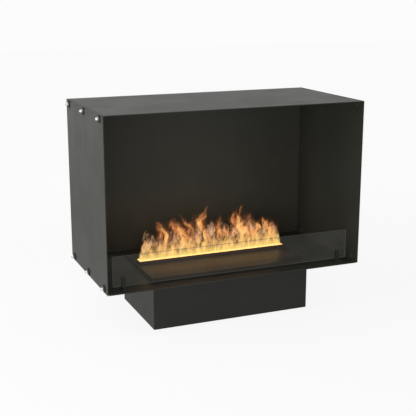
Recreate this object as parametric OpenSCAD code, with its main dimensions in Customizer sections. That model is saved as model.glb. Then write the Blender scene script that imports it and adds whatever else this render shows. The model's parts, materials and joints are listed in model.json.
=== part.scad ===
// Water vapour fireplace: an open-fronted steel casing on a narrower base that holds an
// ultrasonic mist burner. Origin: centre of the casing's footprint, on the ground. Front: -Y.

/* [Casing] */
// Width of the casing over its side panels
casing_w = 1000; // [900:10:1100]
// Depth of the casing
casing_d = 490; // [450:5:540]
// Height of the casing above the base
casing_h = 625; // [500:5:700]
// Thickness of the casing and base sheet
sheet_t = 3; // [2:0.5:4]
// Height of the folded side flanges of the top and floor panels
flange_h = 34; // [30:1:40]
// How far the side flanges stop short of the front edge
flange_setback = 20; // [10:1:24]
// Height of the rear flanges that carry the back panel
rear_flange_h = 24; // [20:1:30]

/* [Casing fasteners] */
// Diameter of the carriage bolts through the side panels
bolt_d = 8; // [6:1:8]
// Height of a bolt above the casing's lower edge, and below its upper edge
bolt_edge = 15.5; // [15:0.5:17]
// Distance of the outer bolts from the front and back edges
bolt_inset = 40; // [38:1:60]
// Diameter of the large black washers
washer_d = 28; // [22:1:29]
// Thickness of the large black washers
washer_t = 1.6; // [1:0.2:2]
// Width across the flats of a dome nut
nut_af = 13; // [12:1:16]
// Height of a dome nut
nut_h = 13; // [12:0.5:15]
// Height of the mushroom head inside the casing
bolt_head_h = 3.5; // [3:0.5:5]
// Diameter of the countersunk back panel screws
back_screw_d = 4; // [3:0.5:5]

/* [Base] */
// Width of the base
base_w = 625; // [600:1:680]
// Depth of the base
base_d = 360; // [350:2:380]
// Height of the base
base_h = 175; // [172:1:200]
// How far the base stands back from the casing's front edge
base_setback = 60; // [50:1:70]
// Width of the base's folded flanges
base_flange = 24; // [20:1:26]
// Outer radius of the base's front corners
base_bend_r = 4; // [4:0.5:8]
// Diameter of the screws that hold the base to the floor panel
base_screw_d = 5; // [4:0.5:6]
// Diameter of the screws of the holders and of the rear and bottom panels
panel_screw_d = 4; // [3:0.5:5]

/* [Glass guard] */
// Gap between an end of the glass and the casing's side
glass_margin = 32; // [20:1:60]
// Height of the glass
glass_h = 110; // [80:1:150]
// Thickness of the glass
glass_t = 6; // [5:1:8]
// Distance of the glass behind the front edge
glass_setback = 40; // [36:1:44]
// Gap between the floor and the glass
glass_gap = 12; // [10:1:16]
// Distance of each glass holder from the end of the glass
holder_inset = 38; // [20:1:80]
// Width of a glass holder
holder_w = 15; // [12:1:24]
// Height of a glass holder
holder_h = 45; // [35:1:60]
// Depth of a glass holder's foot
holder_foot_d = 38; // [32:1:42]
// Height of a glass holder's foot
holder_foot_h = 8; // [7:0.5:9]
// Wall of a holder's jaws
holder_jaw_t = 5; // [4:0.5:6]
// Thickness of the rubber liner in a holder
liner_t = 0.8; // [0.5:0.1:1]

/* [Burner cover] */
// Height of the cover plate above the floor
cover_rise = 14; // [12:0.5:18]
// Thickness of the cover's sheet
cover_t = 2; // [1.5:0.5:2.5]
// Height of the collar above the cover plate
collar_rise = 11; // [10:0.5:20]
// Distance of the flame slot behind the middle of the base
slot_back = 24; // [16:1:26]
// Diameter of the finger notches in the cover's ends
notch_d = 18; // [14:1:20]
// Width of the flame slot
slot_w = 20; // [16:1:22]
// Wall of the light frame beside the slot
frame_wall = 4; // [3:0.5:5]
// Wall of the light frame at the slot's ends
frame_end = 4.5; // [3.5:0.5:8]
// Height of the light frame's lip above the collar
lip_h = 2; // [1.5:0.5:4]

/* [Cassette] */
// Gap between the cassette tray and the base's sides
tray_side_gap = 7.5; // [6:0.5:12]
// Gap between the cassette tray and the base's front and rear
tray_end_gap = 27; // [27:1:32]
// Thickness of the tray's sheet
tray_t = 1.5; // [1:0.5:2]
// Height of the tray's underside above the ground
tray_z = 12; // [10:1:14]
// Width of the tray's flange on the floor panel at its ends
tray_flange_x = 7; // [5:0.5:8]
// Width of the tray's flange on the floor panel along its sides
tray_flange_y = 14; // [10:1:15]
// Clearance of the tray in the floor panel
tray_clear = 1.5; // [1:0.5:3]

/* [Mist chamber] */
// Width of the sump and the hood
hood_w = 90; // [84:1:92]
// Wall of the sump and the hood
hood_wall = 3; // [2:0.5:3]
// Gap between an end of the sump or hood and the tray
hood_end_gap = 3; // [1.5:0.5:6]
// Height of the sump's feet
sump_foot_h = 5.5; // [4:0.5:8]
// Height of the sump, feet left out
sump_h = 71; // [66:1:72]
// Thickness of the gasket between the sump and the hood
gasket_t = 1.5; // [1:0.5:2]
// Height of the hood's sloping shoulders
hood_shoulder_h = 21; // [18:1:24]
// Height of the hood's throat
throat_h = 15; // [12:0.5:16]
// Wall of the hood's throat
throat_wall = 1.5; // [1:0.5:2]
// Number of ultrasonic mist makers
maker_count = 6; // [4:1:6]
// Diameter of a mist maker
maker_d = 44; // [36:1:46]
// Height of a mist maker
maker_h = 14; // [12:1:18]
// Diameter of a mist maker's vibrating disc
disc_d = 20; // [16:1:25]
// Diameter of the float
float_d = 18; // [14:1:20]
// Height of the float
float_h = 12; // [8:1:14]

/* [Fans] */
// Side of a fan frame
fan_side = 60; // [50:1:60]
// Depth of a fan frame
fan_depth = 20; // [16:1:25]
// Distance of each fan from the middle
fan_x = 150; // [120:5:200]
// Diameter of a fan's hub
fan_hub_d = 26; // [22:1:30]
// Number of blades on a fan
fan_blades = 7; // [5:1:9]
// Thickness of a fan blade
fan_blade_t = 1.4; // [1:0.2:2]
// Diameter of a fan's shaft
fan_shaft_d = 3; // [2:0.5:4]

/* [Electronics] */
// Width of the power supply
supply_w = 170; // [140:5:190]
// Height of the power supply
supply_h = 44; // [30:1:50]
// Width of the control box
control_w = 140; // [120:5:160]
// Height of the control box under its lid
control_h = 32; // [24:1:40]
// Width of the driver board
board_w = 180; // [160:5:200]
// Depth of the boxes and the board
electronics_d = 90; // [70:1:100]

/* [Water tank] */
// Width of the tank
tank_w = 400; // [300:5:400]
// Wall of the tank
tank_wall = 2.5; // [2:0.5:3]
// Height of the tank's moulded lid
tank_lid_h = 14; // [13.5:0.5:18]
// How far the lid stands out all round the tank
tank_lid_over = 4; // [3:0.5:5]
// Diameter of the tank's neck
neck_d = 36; // [32:1:44]
// Height of the tank's neck
neck_h = 16; // [15:1:18]
// Height of the tank's cap
cap_h = 17; // [16:1:19]
// Wall of the tank's cap outside its grooves
cap_wall = 3; // [2:0.5:4]
// Travel of the cap's valve plunger
plunger_lift = 3; // [2:0.5:4]
// Wall of the basin under the tank
basin_wall = 3; // [2:0.5:3]
// Height of the basin's walls
basin_h = 46; // [40:1:54]
// Height of the basin's cross ribs above its floor
basin_rib_h = 31; // [29:1:33]
// Height of the basin's legs
basin_leg_h = 30.5; // [28:0.5:32]
// Diameter of the pipe from the basin to the sump
feed_d = 14; // [10:1:16]
// Diameter of the handle's bar
bail_bar_d = 6; // [5:0.5:6.5]
// Width of the handle
bail_w = 110; // [90:2:130]
// Reach of the handle from its pivot
bail_reach = 28; // [24:1:30]

/* [Rear controls] */
// Height of the controls' centre line above the ground
control_z = 60; // [50:1:80]
// Gap between the power inlet and the base's rear return
inlet_margin = 12; // [8:1:20]
// Distance from the power inlet to the power switch
switch_pitch = 44; // [38:1:50]
// Distance from the power switch to the middle button
button_offset = 56; // [52:1:70]
// Distance between the buttons
button_pitch = 24; // [20:1:26]
// Diameter of a button
button_d = 9; // [8:0.5:10]
// Travel of a button
button_travel = 1.5; // [1:0.25:2]
// Gap between the air filter and the base's rear return
filter_margin = 2; // [2:1:8]
// Width of the filter
filter_w = 84; // [70:1:84]
// Height of the filter
filter_h = 90; // [70:1:94]
// Height of the filter's centre above the ground
filter_z = 88; // [84:1:92]

/* [Hidden] */
$fn = 64;
fit = 0.3;
run_fit = 0.05;
hole_over = 0.4;
cut = 1;

powder_black = [0.17, 0.17, 0.165];
steel = [0.78, 0.78, 0.76];
zinc = [0.62, 0.63, 0.62];
rubber_black = [0.09, 0.09, 0.09];
plastic_black = [0.12, 0.12, 0.13];
plastic_grey = [0.60, 0.61, 0.61];
plastic_white = [0.85, 0.85, 0.82];
clear_plastic = [0.80, 0.86, 0.88, 0.6];
amber = [1.0, 0.72, 0.25];
board_green = [0.10, 0.35, 0.18];
smoke_glass = [0.20, 0.21, 0.20, 0.4];
switch_red = [0.5, 0.08, 0.06];

// Casing and base
y_front = -casing_d / 2;
y_back = casing_d / 2;
floor_top = base_h + sheet_t;
casing_top = base_h + casing_h;
panel_w = casing_w - 2 * sheet_t;
bolt_ys = [y_front + bolt_inset, 0, y_back - bolt_inset];
bolt_zs = [base_h + bolt_edge, casing_top - bolt_edge];
nut_bore_h = nut_h * 0.62;
bolt_reach = 2 * sheet_t + washer_t + nut_bore_h - fit;
back_screw_xs = [for (i = [-2:2]) i * panel_w / 5];
back_screw_zs = [base_h + rear_flange_h * 0.6, casing_top - rear_flange_h * 0.6];
base_y0 = y_front + base_setback;
base_y1 = base_y0 + base_d;
base_in_w = base_w - 2 * sheet_t;
rear_in_y = base_y1 - sheet_t;
return_x = base_in_w / 2 - base_flange;
base_mid_y = (base_y0 + base_y1) / 2;
burner_y = base_mid_y + slot_back;
plate_gap = 0.5;
base_screw_in = sheet_t + base_flange - 7;
base_screw_places = [
  for (x = [-1.5:1:1.5], y = [base_y0 + base_screw_in, base_y1 - base_screw_in]) [x * base_w / 4, y]
];
foot_screw_places = [
  for (s = [-1, 1], y = [-1, 0, 1]) [
    s * (base_in_w - base_flange) / 2,
    base_mid_y + y * (base_d / 2 - 2 * base_flange)
  ]
];
rear_screw_places = [
  for (s = [-1, 1], z = [-1, 0, 1]) [
    s * (base_in_w - base_flange) / 2,
    base_h / 2 + z * (base_h / 2 - base_flange)
  ]
];

// Glass guard
glass_w = casing_w - 2 * glass_margin;
glass_y = y_front + glass_setback;
glass_mid_y = glass_y + glass_t / 2;
glass_z = floor_top + glass_gap;
holder_x = glass_w / 2 - holder_inset;
holder_slot_w = glass_t + 2 * liner_t + 2 * run_fit;
holder_y0 = glass_mid_y - holder_foot_d * 0.55;
holder_screw_l = sheet_t + holder_foot_h - 3;

// Cassette tray, cover and light frame
tray_w = base_in_w - 2 * tray_side_gap;
tray_d = base_d - 2 * sheet_t - 2 * tray_end_gap;
tray_in_w = tray_w - 2 * tray_t;
tray_in_d = tray_d - 2 * tray_t;
tray_floor = tray_z + tray_t;
tray_top = floor_top + tray_t;
tray_rear_y = base_mid_y + tray_d / 2;
cover_gap = 1;
cover_in_w = tray_w + 2 * tray_flange_x + 2 * cover_gap;
cover_in_d = tray_d + 2 * tray_flange_y + 2 * cover_gap;
cover_w = cover_in_w + 2 * cover_t;
cover_d = cover_in_d + 2 * cover_t;
cover_top = floor_top + cover_rise;
collar_top = cover_top + collar_rise;
hood_l = tray_in_w - 2 * hood_end_gap;
slot_l = hood_l - 2 * hood_wall;
collar_in_w = slot_w + 2 * frame_wall;
collar_in_l = slot_l + 2 * frame_end;
collar_w = collar_in_w + 2 * cover_t;
collar_l = collar_in_l + 2 * cover_t;
frame_drop = 2;
frame_z = cover_top - cover_t - frame_drop;

// Mist chamber and its lights
sump_z = tray_floor + sump_foot_h;
sump_floor = sump_z + hood_wall;
sump_top = sump_z + sump_h;
hood_z = sump_top + gasket_t;
throat_top = frame_z - fit;
throat_z = throat_top - throat_h;
shoulder_z = throat_z - hood_shoulder_h;
throat_out = slot_w / 2 + throat_wall;
led_t = 1.4;
led_w = 3;
led_z = frame_z - 0.5 - led_t;
led_bar_t = 1.5;
led_bar_w = 12;
led_bar_l = slot_l - 20;
led_count = 24;
maker_pitch = slot_l / maker_count;
maker_xs = [for (i = [0:maker_count - 1]) (i - (maker_count - 1) / 2) * maker_pitch];
ring_z = sump_floor + maker_h * 0.55;
ring_t = 1.2;
float_x = slot_l / 2 - float_d / 2 - 3;
float_foot_h = 6;
float_stem_d = 5;
float_travel = 10;
float_stop_z = float_foot_h + float_h + float_travel + fit;

// Fans
fan_edge_gap = 0.1;
fan_z = hood_z + fan_side / 2 + fan_edge_gap;
fan_y = burner_y - hood_w / 2 - fan_depth;
fan_bore_d = fan_side - 3;
fan_rotor_d = fan_bore_d - 2;
fan_hub_t = 4;
fan_rotor_z = 2;
fan_rotor_h = fan_depth - fan_hub_t - fan_rotor_z - 1;
fan_screw_d = 2.8;
fan_screw_off = fan_side / 2 - 5;

// Electronics
box_front_gap = 3;
electronics_y = base_mid_y - tray_in_d / 2 + box_front_gap + electronics_d / 2;
box_side_gap = 8;
supply_x = -tray_in_w / 2 + box_side_gap + supply_w / 2;
control_x = tray_in_w / 2 - box_side_gap - control_w / 2;
board_x = (supply_x + supply_w / 2 + control_x - control_w / 2) / 2;
box_wall = 2;
standoff_h = 8;
board_t = 1.6;
board_hole_x = board_w / 2 - 6;
board_hole_y = electronics_d / 2 - 8;
coil_d = 14;
coil_h = 10;
fin_pitch = 4;
fin_t = 1.4;
fin_h = 16;
sink_margin = 20;

// Water tank and basin
basin_gap = 3;
tank_gap = 2;
basin_rear_gap = 2.5;
basin_y0 = burner_y + hood_w / 2 + basin_gap;
basin_y1 = base_mid_y + tray_in_d / 2 - basin_rear_gap;
basin_d = basin_y1 - basin_y0;
basin_in_d = basin_d - 2 * basin_wall;
tank_d = basin_in_d - 2 * tank_gap;
basin_in_w = tank_w + 2 * tank_gap;
basin_w = basin_in_w + 2 * basin_wall;
tank_y = (basin_y0 + basin_y1) / 2;
basin_z = tray_floor + basin_leg_h;
basin_floor = basin_z + basin_wall;
tank_z = basin_floor + basin_rib_h;
tank_lid_z = cover_top - tank_lid_h;
tank_lid_w = tank_w + 2 * tank_lid_over;
tank_lid_d = tank_d + 2 * tank_lid_over;
lid_gap = 1;
neck_z = tank_z - neck_h;
neck_bore_d = neck_d - 8;
cap_z = tank_z - 4 - cap_h;
cap_floor_t = 3;
lug_out = 1.8;
lug_h = 2.5;
lug_z = neck_z + 5;
lug_angle = 30;
cap_turn = 90;
cap_r = neck_d / 2 + lug_out + fit + cap_wall;
stem_d = 6;
valve_hole_d = 8.6;
valve_disc_d = 18;
post_d = 8;
post_top = cap_z - plunger_lift;
feed_z = basin_floor + feed_d / 2 + 1;
rib_x = tank_w * 0.3;

// Handle in the lid
recess_depth = 8;
recess_w = bail_w + 14;
recess_y0 = -8;
recess_y1 = bail_reach + 8;
scoop_depth = 12;
scoop_w = 46;
bail_pivot_y = tank_y - 14;
bail_pivot_z = cover_top - recess_depth + bail_bar_d / 2 + fit;
bail_pin_d = 4;
bail_pin_l = 10;

// Rear controls
inlet_w = 27;
inlet_h = 20;
inlet_depth = 20;
inlet_x = -(return_x - inlet_margin - inlet_w / 2);
inlet_pins = [[-7, -1], [7, -1], [0, 3]];
switch_w = 13;
switch_h = 19;
switch_depth = 16;
switch_x = inlet_x + switch_pitch;
switch_pin_d = 2.4;
switch_pivot_y = base_y1 - 3;
rocker_tilt = 8;
button_x = switch_x + button_offset;
button_xs = [for (i = [-1:1]) button_x + i * button_pitch];
button_flange_d = button_d + 3;
button_flange_t = 2;
filter_x = return_x - filter_margin - filter_w / 2;
filter_depth = 12;
cable_hole_d = 16;

// Shared shapes

// A box from its lowest to its highest corner
module box(low, high) {
  translate(low) cube(high - low);
}

// A box centred on x and y, standing on z
module slab(x, y, z, w, d, h) {
  translate([x - w / 2, y - d / 2, z]) cube([w, d, h]);
}

// A round bar along X from point p
module rod_x(p, d, l) {
  translate(p) rotate([0, 90, 0]) cylinder(h = l, d = d);
}

// A round bar along Y from point p
module rod_y(p, d, l) {
  translate(p) rotate([-90, 0, 0]) cylinder(h = l, d = d);
}

// The outline of a sheet folded up at both ends, with rounded bends: x across, y up
module channel_outline(w, h, t) {
  r = 2 * t;
  difference() {
    union() {
      translate([-w / 2, r]) square([w, h - r]);
      translate([-w / 2 + r, 0]) square([w - 2 * r, h]);
      for (s = [-1, 1]) translate([s * (w / 2 - r), r]) circle(r);
    }
    translate([-w / 2 + t, r]) square([w - 2 * t, h]);
    translate([-w / 2 + r, t]) square([w - 2 * r, h]);
    for (s = [-1, 1]) translate([s * (w / 2 - r), r]) circle(r - t);
  }
}

// A flat sheet with upturned side flanges and a rear flange, standing on z = 0
module flanged_panel(side_h, rear_h) {
  l = casing_d - sheet_t;
  rear_w = panel_w - 8 * sheet_t;
  difference() {
    translate([0, y_front + l, 0]) rotate([90, 0, 0])
      linear_extrude(l) channel_outline(panel_w, side_h, sheet_t);
    for (s = [-1, 1])
      slab(s * panel_w / 2, y_front, 2 * sheet_t, 4 * sheet_t, 2 * flange_setback, side_h);
  }
  slab(0, y_front + l - sheet_t / 2, sheet_t / 2, rear_w, sheet_t, rear_h - sheet_t / 2);
}

// Holes for the side bolts in one side, s = -1 left and 1 right, at the heights zs
module bolt_holes(s, zs) {
  reach = 6 * sheet_t;
  for (y = bolt_ys, z = zs)
    rod_x([s * casing_w / 2 - reach, y, z], bolt_d + hole_over, 2 * reach);
}

// A countersunk screw with its flat head's top on z = 0 and its tip at -l
module flat_screw(d, l) {
  rim_h = d * 0.12;
  cone_h = d * 0.55;
  translate([0, 0, -rim_h]) cylinder(h = rim_h, d = d * 1.9);
  translate([0, 0, -rim_h - cone_h]) cylinder(h = cone_h, d1 = d, d2 = d * 1.9);
  translate([0, 0, -l]) cylinder(h = l - rim_h - cone_h / 2, d = d);
}

// The hole that a countersunk screw sits in, through a sheet of thickness t under z = 0
module flat_screw_hole(d, t) {
  rim_h = d * 0.12 + fit / 2;
  cone_h = d * 0.55;
  translate([0, 0, -rim_h]) cylinder(h = rim_h + cut, d = d * 1.9 + hole_over);
  translate([0, 0, -rim_h - cone_h])
    cylinder(h = cone_h, d1 = d + hole_over, d2 = d * 1.9 + hole_over);
  translate([0, 0, -t - cut]) cylinder(h = t + 2 * cut, d = d + hole_over);
}

// A low domed screw with a hexagon socket: its head stands on z = 0 and its tip is at -l
module pan_screw(d, l) {
  head_h = d * 0.6;
  dome_r = d * 2.2;
  difference() {
    intersection() {
      cylinder(h = head_h, d = d * 1.9);
      translate([0, 0, head_h - dome_r]) sphere(r = dome_r);
    }
    translate([0, 0, head_h * 0.45]) cylinder(h = head_h, d = d * 0.8, $fn = 6);
  }
  translate([0, 0, -l]) cylinder(h = l + head_h * 0.2, d = d);
}

// Casing

// A flat side panel, s = -1 left and 1 right
module side_panel(s) {
  color(powder_black) difference() {
    slab(s * (casing_w - sheet_t) / 2, 0, base_h, sheet_t, casing_d, casing_h);
    bolt_holes(s, bolt_zs);
  }
}

module top_panel() {
  color(powder_black) difference() {
    translate([0, 0, casing_top]) mirror([0, 0, 1]) flanged_panel(flange_h, rear_flange_h);
    for (s = [-1, 1]) bolt_holes(s, [bolt_zs[1]]);
    back_screw_holes(back_screw_zs[1]);
  }
}

module floor_panel() {
  color(powder_black) difference() {
    translate([0, 0, base_h]) flanged_panel(flange_h, rear_flange_h);
    slab(0, base_mid_y, base_h - cut, tray_w + 2 * tray_clear, tray_d + 2 * tray_clear, sheet_t + 2 * cut);
    for (s = [-1, 1]) bolt_holes(s, [bolt_zs[0]]);
    back_screw_holes(back_screw_zs[0]);
    for (p = base_screw_places)
      translate([p.x, p.y, base_h - cut]) cylinder(h = sheet_t + 2 * cut, d = base_screw_d + hole_over);
    for (s = [-1, 1])
      translate([s * holder_x, glass_mid_y, base_h]) mirror([0, 0, 1])
        flat_screw_hole(panel_screw_d, sheet_t);
  }
}

module back_screw_holes(z) {
  for (x = back_screw_xs)
    rod_y([x, y_back - 3 * sheet_t, z], back_screw_d + hole_over, 4 * sheet_t);
}

module back_panel() {
  color(powder_black) difference() {
    box([-panel_w / 2, y_back - sheet_t, base_h], [panel_w / 2, y_back, casing_top]);
    for (x = back_screw_xs, z = back_screw_zs)
      translate([x, y_back, z]) rotate([-90, 0, 0]) flat_screw_hole(back_screw_d, sheet_t);
  }
}

module back_screws() {
  color(steel) for (x = back_screw_xs, z = back_screw_zs)
    translate([x, y_back, z]) rotate([-90, 0, 0]) flat_screw(back_screw_d, 2.5 * sheet_t);
}

// Whatever is stacked on each side bolt, built along +Z from the panel's outer face
module at_bolts() {
  for (s = [-1, 1], y = bolt_ys, z = bolt_zs)
    translate([s * casing_w / 2, y, z]) rotate([0, s * 90, 0]) children();
}

module casing_bolts() {
  head_z = -2 * sheet_t;
  color(powder_black) at_bolts() {
    translate([0, 0, head_z]) cylinder(h = bolt_reach, d = bolt_d);
    translate([0, 0, head_z - bolt_head_h]) cylinder(h = bolt_head_h, d1 = bolt_d * 1.3, d2 = bolt_d * 2);
  }
}

module casing_washers() {
  color(rubber_black) at_bolts() difference() {
    cylinder(h = washer_t, d = washer_d);
    translate([0, 0, -cut]) cylinder(h = washer_t + 2 * cut, d = bolt_d + hole_over);
  }
}

module casing_dome_nuts() {
  dome_r = nut_af * 0.46;
  hex_h = nut_h - dome_r;
  chamfer_r = nut_af * 0.95;
  color(steel) at_bolts() translate([0, 0, washer_t]) difference() {
    union() {
      intersection() {
        cylinder(h = hex_h, d = nut_af / cos(30), $fn = 6);
        translate([0, 0, hex_h - chamfer_r]) sphere(r = chamfer_r);
      }
      cylinder(h = hex_h, d = dome_r * 2);
      translate([0, 0, hex_h]) sphere(r = dome_r);
    }
    translate([0, 0, -nut_h]) cylinder(h = nut_h, d = nut_af * 2);
    translate([0, 0, -cut]) cylinder(h = nut_bore_h + cut, d = bolt_d + 2 * run_fit);
  }
}

// Base

// The base's plan: a front and two sides with rounded front corners and inward rear returns
module base_outline() {
  difference() {
    union() {
      translate([-base_w / 2, base_bend_r]) square([base_w, base_d - sheet_t - base_bend_r]);
      translate([-base_w / 2 + base_bend_r, 0]) square([base_w - 2 * base_bend_r, base_d - sheet_t]);
      for (s = [-1, 1]) translate([s * (base_w / 2 - base_bend_r), base_bend_r]) circle(base_bend_r);
    }
    translate([-base_in_w / 2, sheet_t]) square([base_in_w, base_d - 3 * sheet_t]);
    translate([-return_x, 2 * sheet_t]) square([2 * return_x, base_d]);
  }
}

module base_shell() {
  flange_w = base_in_w - 2 * sheet_t;
  side_l = base_d - 3 * sheet_t;
  side_flange_x = (base_in_w + sheet_t - base_flange) / 2;
  color(powder_black) difference() {
    union() {
      translate([0, base_y0, 0]) linear_extrude(base_h) base_outline();
      for (z = [0, base_h - sheet_t])
        box([-flange_w / 2, base_y0 + sheet_t / 2, z],
            [flange_w / 2, base_y0 + sheet_t + base_flange, z + sheet_t]);
      for (s = [-1, 1])
        slab(s * side_flange_x, base_y0 + sheet_t + side_l / 2, 0, base_flange + sheet_t, side_l, sheet_t);
    }
    for (p = base_screw_places)
      translate([p.x, p.y, base_h - 2 * sheet_t]) cylinder(h = 3 * sheet_t, d = base_screw_d + hole_over);
    for (p = foot_screw_places)
      translate([p.x, p.y, 0]) mirror([0, 0, 1]) flat_screw_hole(panel_screw_d, sheet_t);
    for (p = rear_screw_places)
      rod_y([p.x, rear_in_y - 2 * sheet_t, p.y], panel_screw_d + hole_over, 3 * sheet_t);
  }
}

module base_bottom_plate() {
  half_w = base_in_w / 2 - plate_gap;
  color(powder_black) difference() {
    box([-half_w, base_y0 + sheet_t + plate_gap, sheet_t],
        [half_w, rear_in_y - sheet_t - plate_gap, 2 * sheet_t]);
    for (p = foot_screw_places)
      translate([p.x, p.y, sheet_t - cut]) cylinder(h = sheet_t + 2 * cut, d = panel_screw_d + hole_over);
  }
}

// A window of width w and height h through the base's rear panel, centred on x and z
module rear_window(x, z, w, h) {
  slab(x, base_y1, z - h / 2 - fit, w + 2 * fit, 4 * sheet_t, h + 2 * fit);
}

module base_rear_panel() {
  flange_x = return_x - 2;
  color(powder_black) difference() {
    union() {
      box([-base_w / 2, rear_in_y, 0], [base_w / 2, base_y1, base_h]);
      box([-flange_x, rear_in_y - base_flange, base_h - sheet_t], [flange_x, base_y1, base_h]);
    }
    for (p = base_screw_places)
      translate([p.x, p.y, base_h - 2 * sheet_t]) cylinder(h = 3 * sheet_t, d = base_screw_d + hole_over);
    for (p = rear_screw_places)
      rod_y([p.x, rear_in_y - sheet_t, p.y], panel_screw_d + hole_over, 3 * sheet_t);
    for (x = button_xs)
      rod_y([x, rear_in_y - sheet_t, control_z], button_d + 2 * fit, 3 * sheet_t);
    rear_window(inlet_x, control_z, inlet_w, inlet_h);
    rear_window(switch_x, control_z, switch_w, switch_h);
    rear_window(filter_x, filter_z, filter_w, filter_h);
  }
}

module base_screws() {
  color(zinc) for (p = base_screw_places)
    translate([p.x, p.y, base_h - sheet_t]) mirror([0, 0, 1])
      pan_screw(base_screw_d, 2 * sheet_t - fit);
}

module panel_screws() {
  color(zinc) {
    for (p = foot_screw_places)
      translate([p.x, p.y, 0]) mirror([0, 0, 1]) flat_screw(panel_screw_d, 2 * sheet_t);
    for (p = rear_screw_places)
      translate([p.x, base_y1, p.y]) rotate([-90, 0, 0]) pan_screw(panel_screw_d, 2.5 * sheet_t);
    for (s = [-1, 1])
      translate([s * holder_x, glass_mid_y, base_h]) mirror([0, 0, 1])
        flat_screw(panel_screw_d, holder_screw_l);
  }
}

// Glass guard

module glass_guard() {
  color(smoke_glass) slab(0, glass_mid_y, glass_z, glass_w, glass_t, glass_h);
}

// A holder's side view: a long low foot and two jaws with rounded tops, y measured up
module holder_outline() {
  jaw_r = holder_jaw_t / 2;
  jaw_y = holder_slot_w / 2 + holder_jaw_t;
  foot_r = 2;
  difference() {
    union() {
      translate([holder_y0, 0]) square([holder_foot_d, holder_foot_h - foot_r]);
      translate([holder_y0 + foot_r, 0]) square([holder_foot_d - 2 * foot_r, holder_foot_h]);
      for (y = [holder_y0 + foot_r, holder_y0 + holder_foot_d - foot_r])
        translate([y, holder_foot_h - foot_r]) circle(foot_r);
      translate([glass_mid_y - jaw_y, 0]) square([2 * jaw_y, holder_h - jaw_r]);
      for (s = [-1, 1])
        translate([glass_mid_y + s * (jaw_y - jaw_r), holder_h - jaw_r]) circle(jaw_r);
    }
    translate([glass_mid_y - holder_slot_w / 2, glass_gap - liner_t - run_fit])
      square([holder_slot_w, holder_h]);
  }
}

module glass_holder(s) {
  color(powder_black) difference() {
    translate([s * holder_x - holder_w / 2, 0, floor_top]) rotate([90, 0, 90])
      linear_extrude(holder_w) holder_outline();
    translate([s * holder_x, glass_mid_y, floor_top - cut])
      cylinder(h = holder_foot_h - 2 + cut, d = panel_screw_d + hole_over);
  }
}

module glass_liners() {
  liner_w = holder_w + 2;
  liner_z = glass_z - liner_t;
  color(rubber_black) for (s = [-1, 1]) difference() {
    slab(s * holder_x, glass_mid_y, liner_z, liner_w, glass_t + 2 * liner_t, holder_h - glass_gap);
    slab(s * holder_x, glass_mid_y, glass_z, 2 * liner_w, glass_t + 2 * run_fit, holder_h);
  }
}

// Burner cover and light frame

module burner_cover() {
  color(powder_black) difference() {
    union() {
      slab(0, base_mid_y, floor_top, cover_w, cover_d, cover_rise);
      slab(0, burner_y, cover_top - cut, collar_l, collar_w, collar_rise + cut);
    }
    slab(0, base_mid_y, floor_top - cut, cover_in_w, cover_in_d, cover_rise - cover_t + cut);
    slab(0, burner_y, floor_top, collar_in_l, collar_in_w, cover_rise + collar_rise + cut);
    slab(0, tank_y, floor_top, tank_lid_w + 2 * lid_gap, tank_lid_d + 2 * lid_gap, cover_rise + cut);
    for (s = [-1, 1])
      rod_x([s * cover_w / 2 - 2 * cover_t, base_mid_y, floor_top], notch_d, 4 * cover_t);
  }
}

// A translucent ring that hangs in the collar by its lip and takes up the light from below
module slot_light_frame() {
  color(amber) difference() {
    union() {
      slab(0, burner_y, frame_z, collar_in_l - 2 * fit, collar_in_w - 2 * fit, collar_top - frame_z + cut);
      slab(0, burner_y, collar_top, collar_l, collar_w, lip_h);
    }
    slab(0, burner_y, frame_z - cut, slot_l, slot_w, collar_top - frame_z + lip_h + 2 * cut);
  }
}

// Cassette tray: a deep tray that hangs in the floor panel by its flange
module cassette_tray() {
  window_w = filter_w - 12;
  window_h = filter_h - 20;
  flange_w = tray_w + 2 * tray_flange_x;
  flange_d = tray_d + 2 * tray_flange_y;
  color(zinc) difference() {
    union() {
      slab(0, base_mid_y, tray_z, tray_w, tray_d, tray_top - tray_z);
      slab(0, base_mid_y, floor_top, flange_w, flange_d, tray_t);
    }
    slab(0, base_mid_y, tray_floor, tray_in_w, tray_in_d, tray_top);
    slab(filter_x, tray_rear_y, filter_z - window_h / 2, window_w, 6 * tray_t, window_h);
    rod_y([inlet_x, tray_rear_y - 2 * tray_t, tray_floor + cable_hole_d], cable_hole_d, 4 * tray_t);
  }
}

// Mist chamber

module mist_sump() {
  foot_w = 24;
  foot_d = 18;
  color(plastic_black) {
    difference() {
      slab(0, burner_y, sump_z, hood_l, hood_w, sump_h);
      slab(0, burner_y, sump_floor, slot_l, hood_w - 2 * hood_wall, sump_h);
      rod_y([0, burner_y + hood_w / 2 - 2 * hood_wall, feed_z], feed_d + 2 * fit, 3 * hood_wall);
    }
    for (sx = [-1, 0, 1], sy = [-1, 1])
      slab(sx * (hood_l - foot_w - 4) / 2, burner_y + sy * (hood_w - foot_d - 6) / 2, tray_floor,
           foot_w, foot_d, sump_foot_h + hood_wall / 2);
  }
}

module hood_gasket() {
  color(rubber_black) translate([0, burner_y, sump_top]) linear_extrude(gasket_t) difference() {
    square([hood_l, hood_w], center = true);
    square([slot_l, hood_w - 2 * hood_wall], center = true);
  }
}

// The hood's cross section between its foot and its throat, longer by over at both ends
module hood_outline(foot_half, throat_half, over) {
  shoulder = shoulder_z - hood_z;
  throat = throat_z - hood_z;
  top = throat_top - hood_z + over;
  polygon([
    [-foot_half, -over], [foot_half, -over], [foot_half, shoulder], [throat_half, throat],
    [throat_half, top], [-throat_half, top], [-throat_half, throat], [-foot_half, shoulder]
  ]);
}

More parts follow.
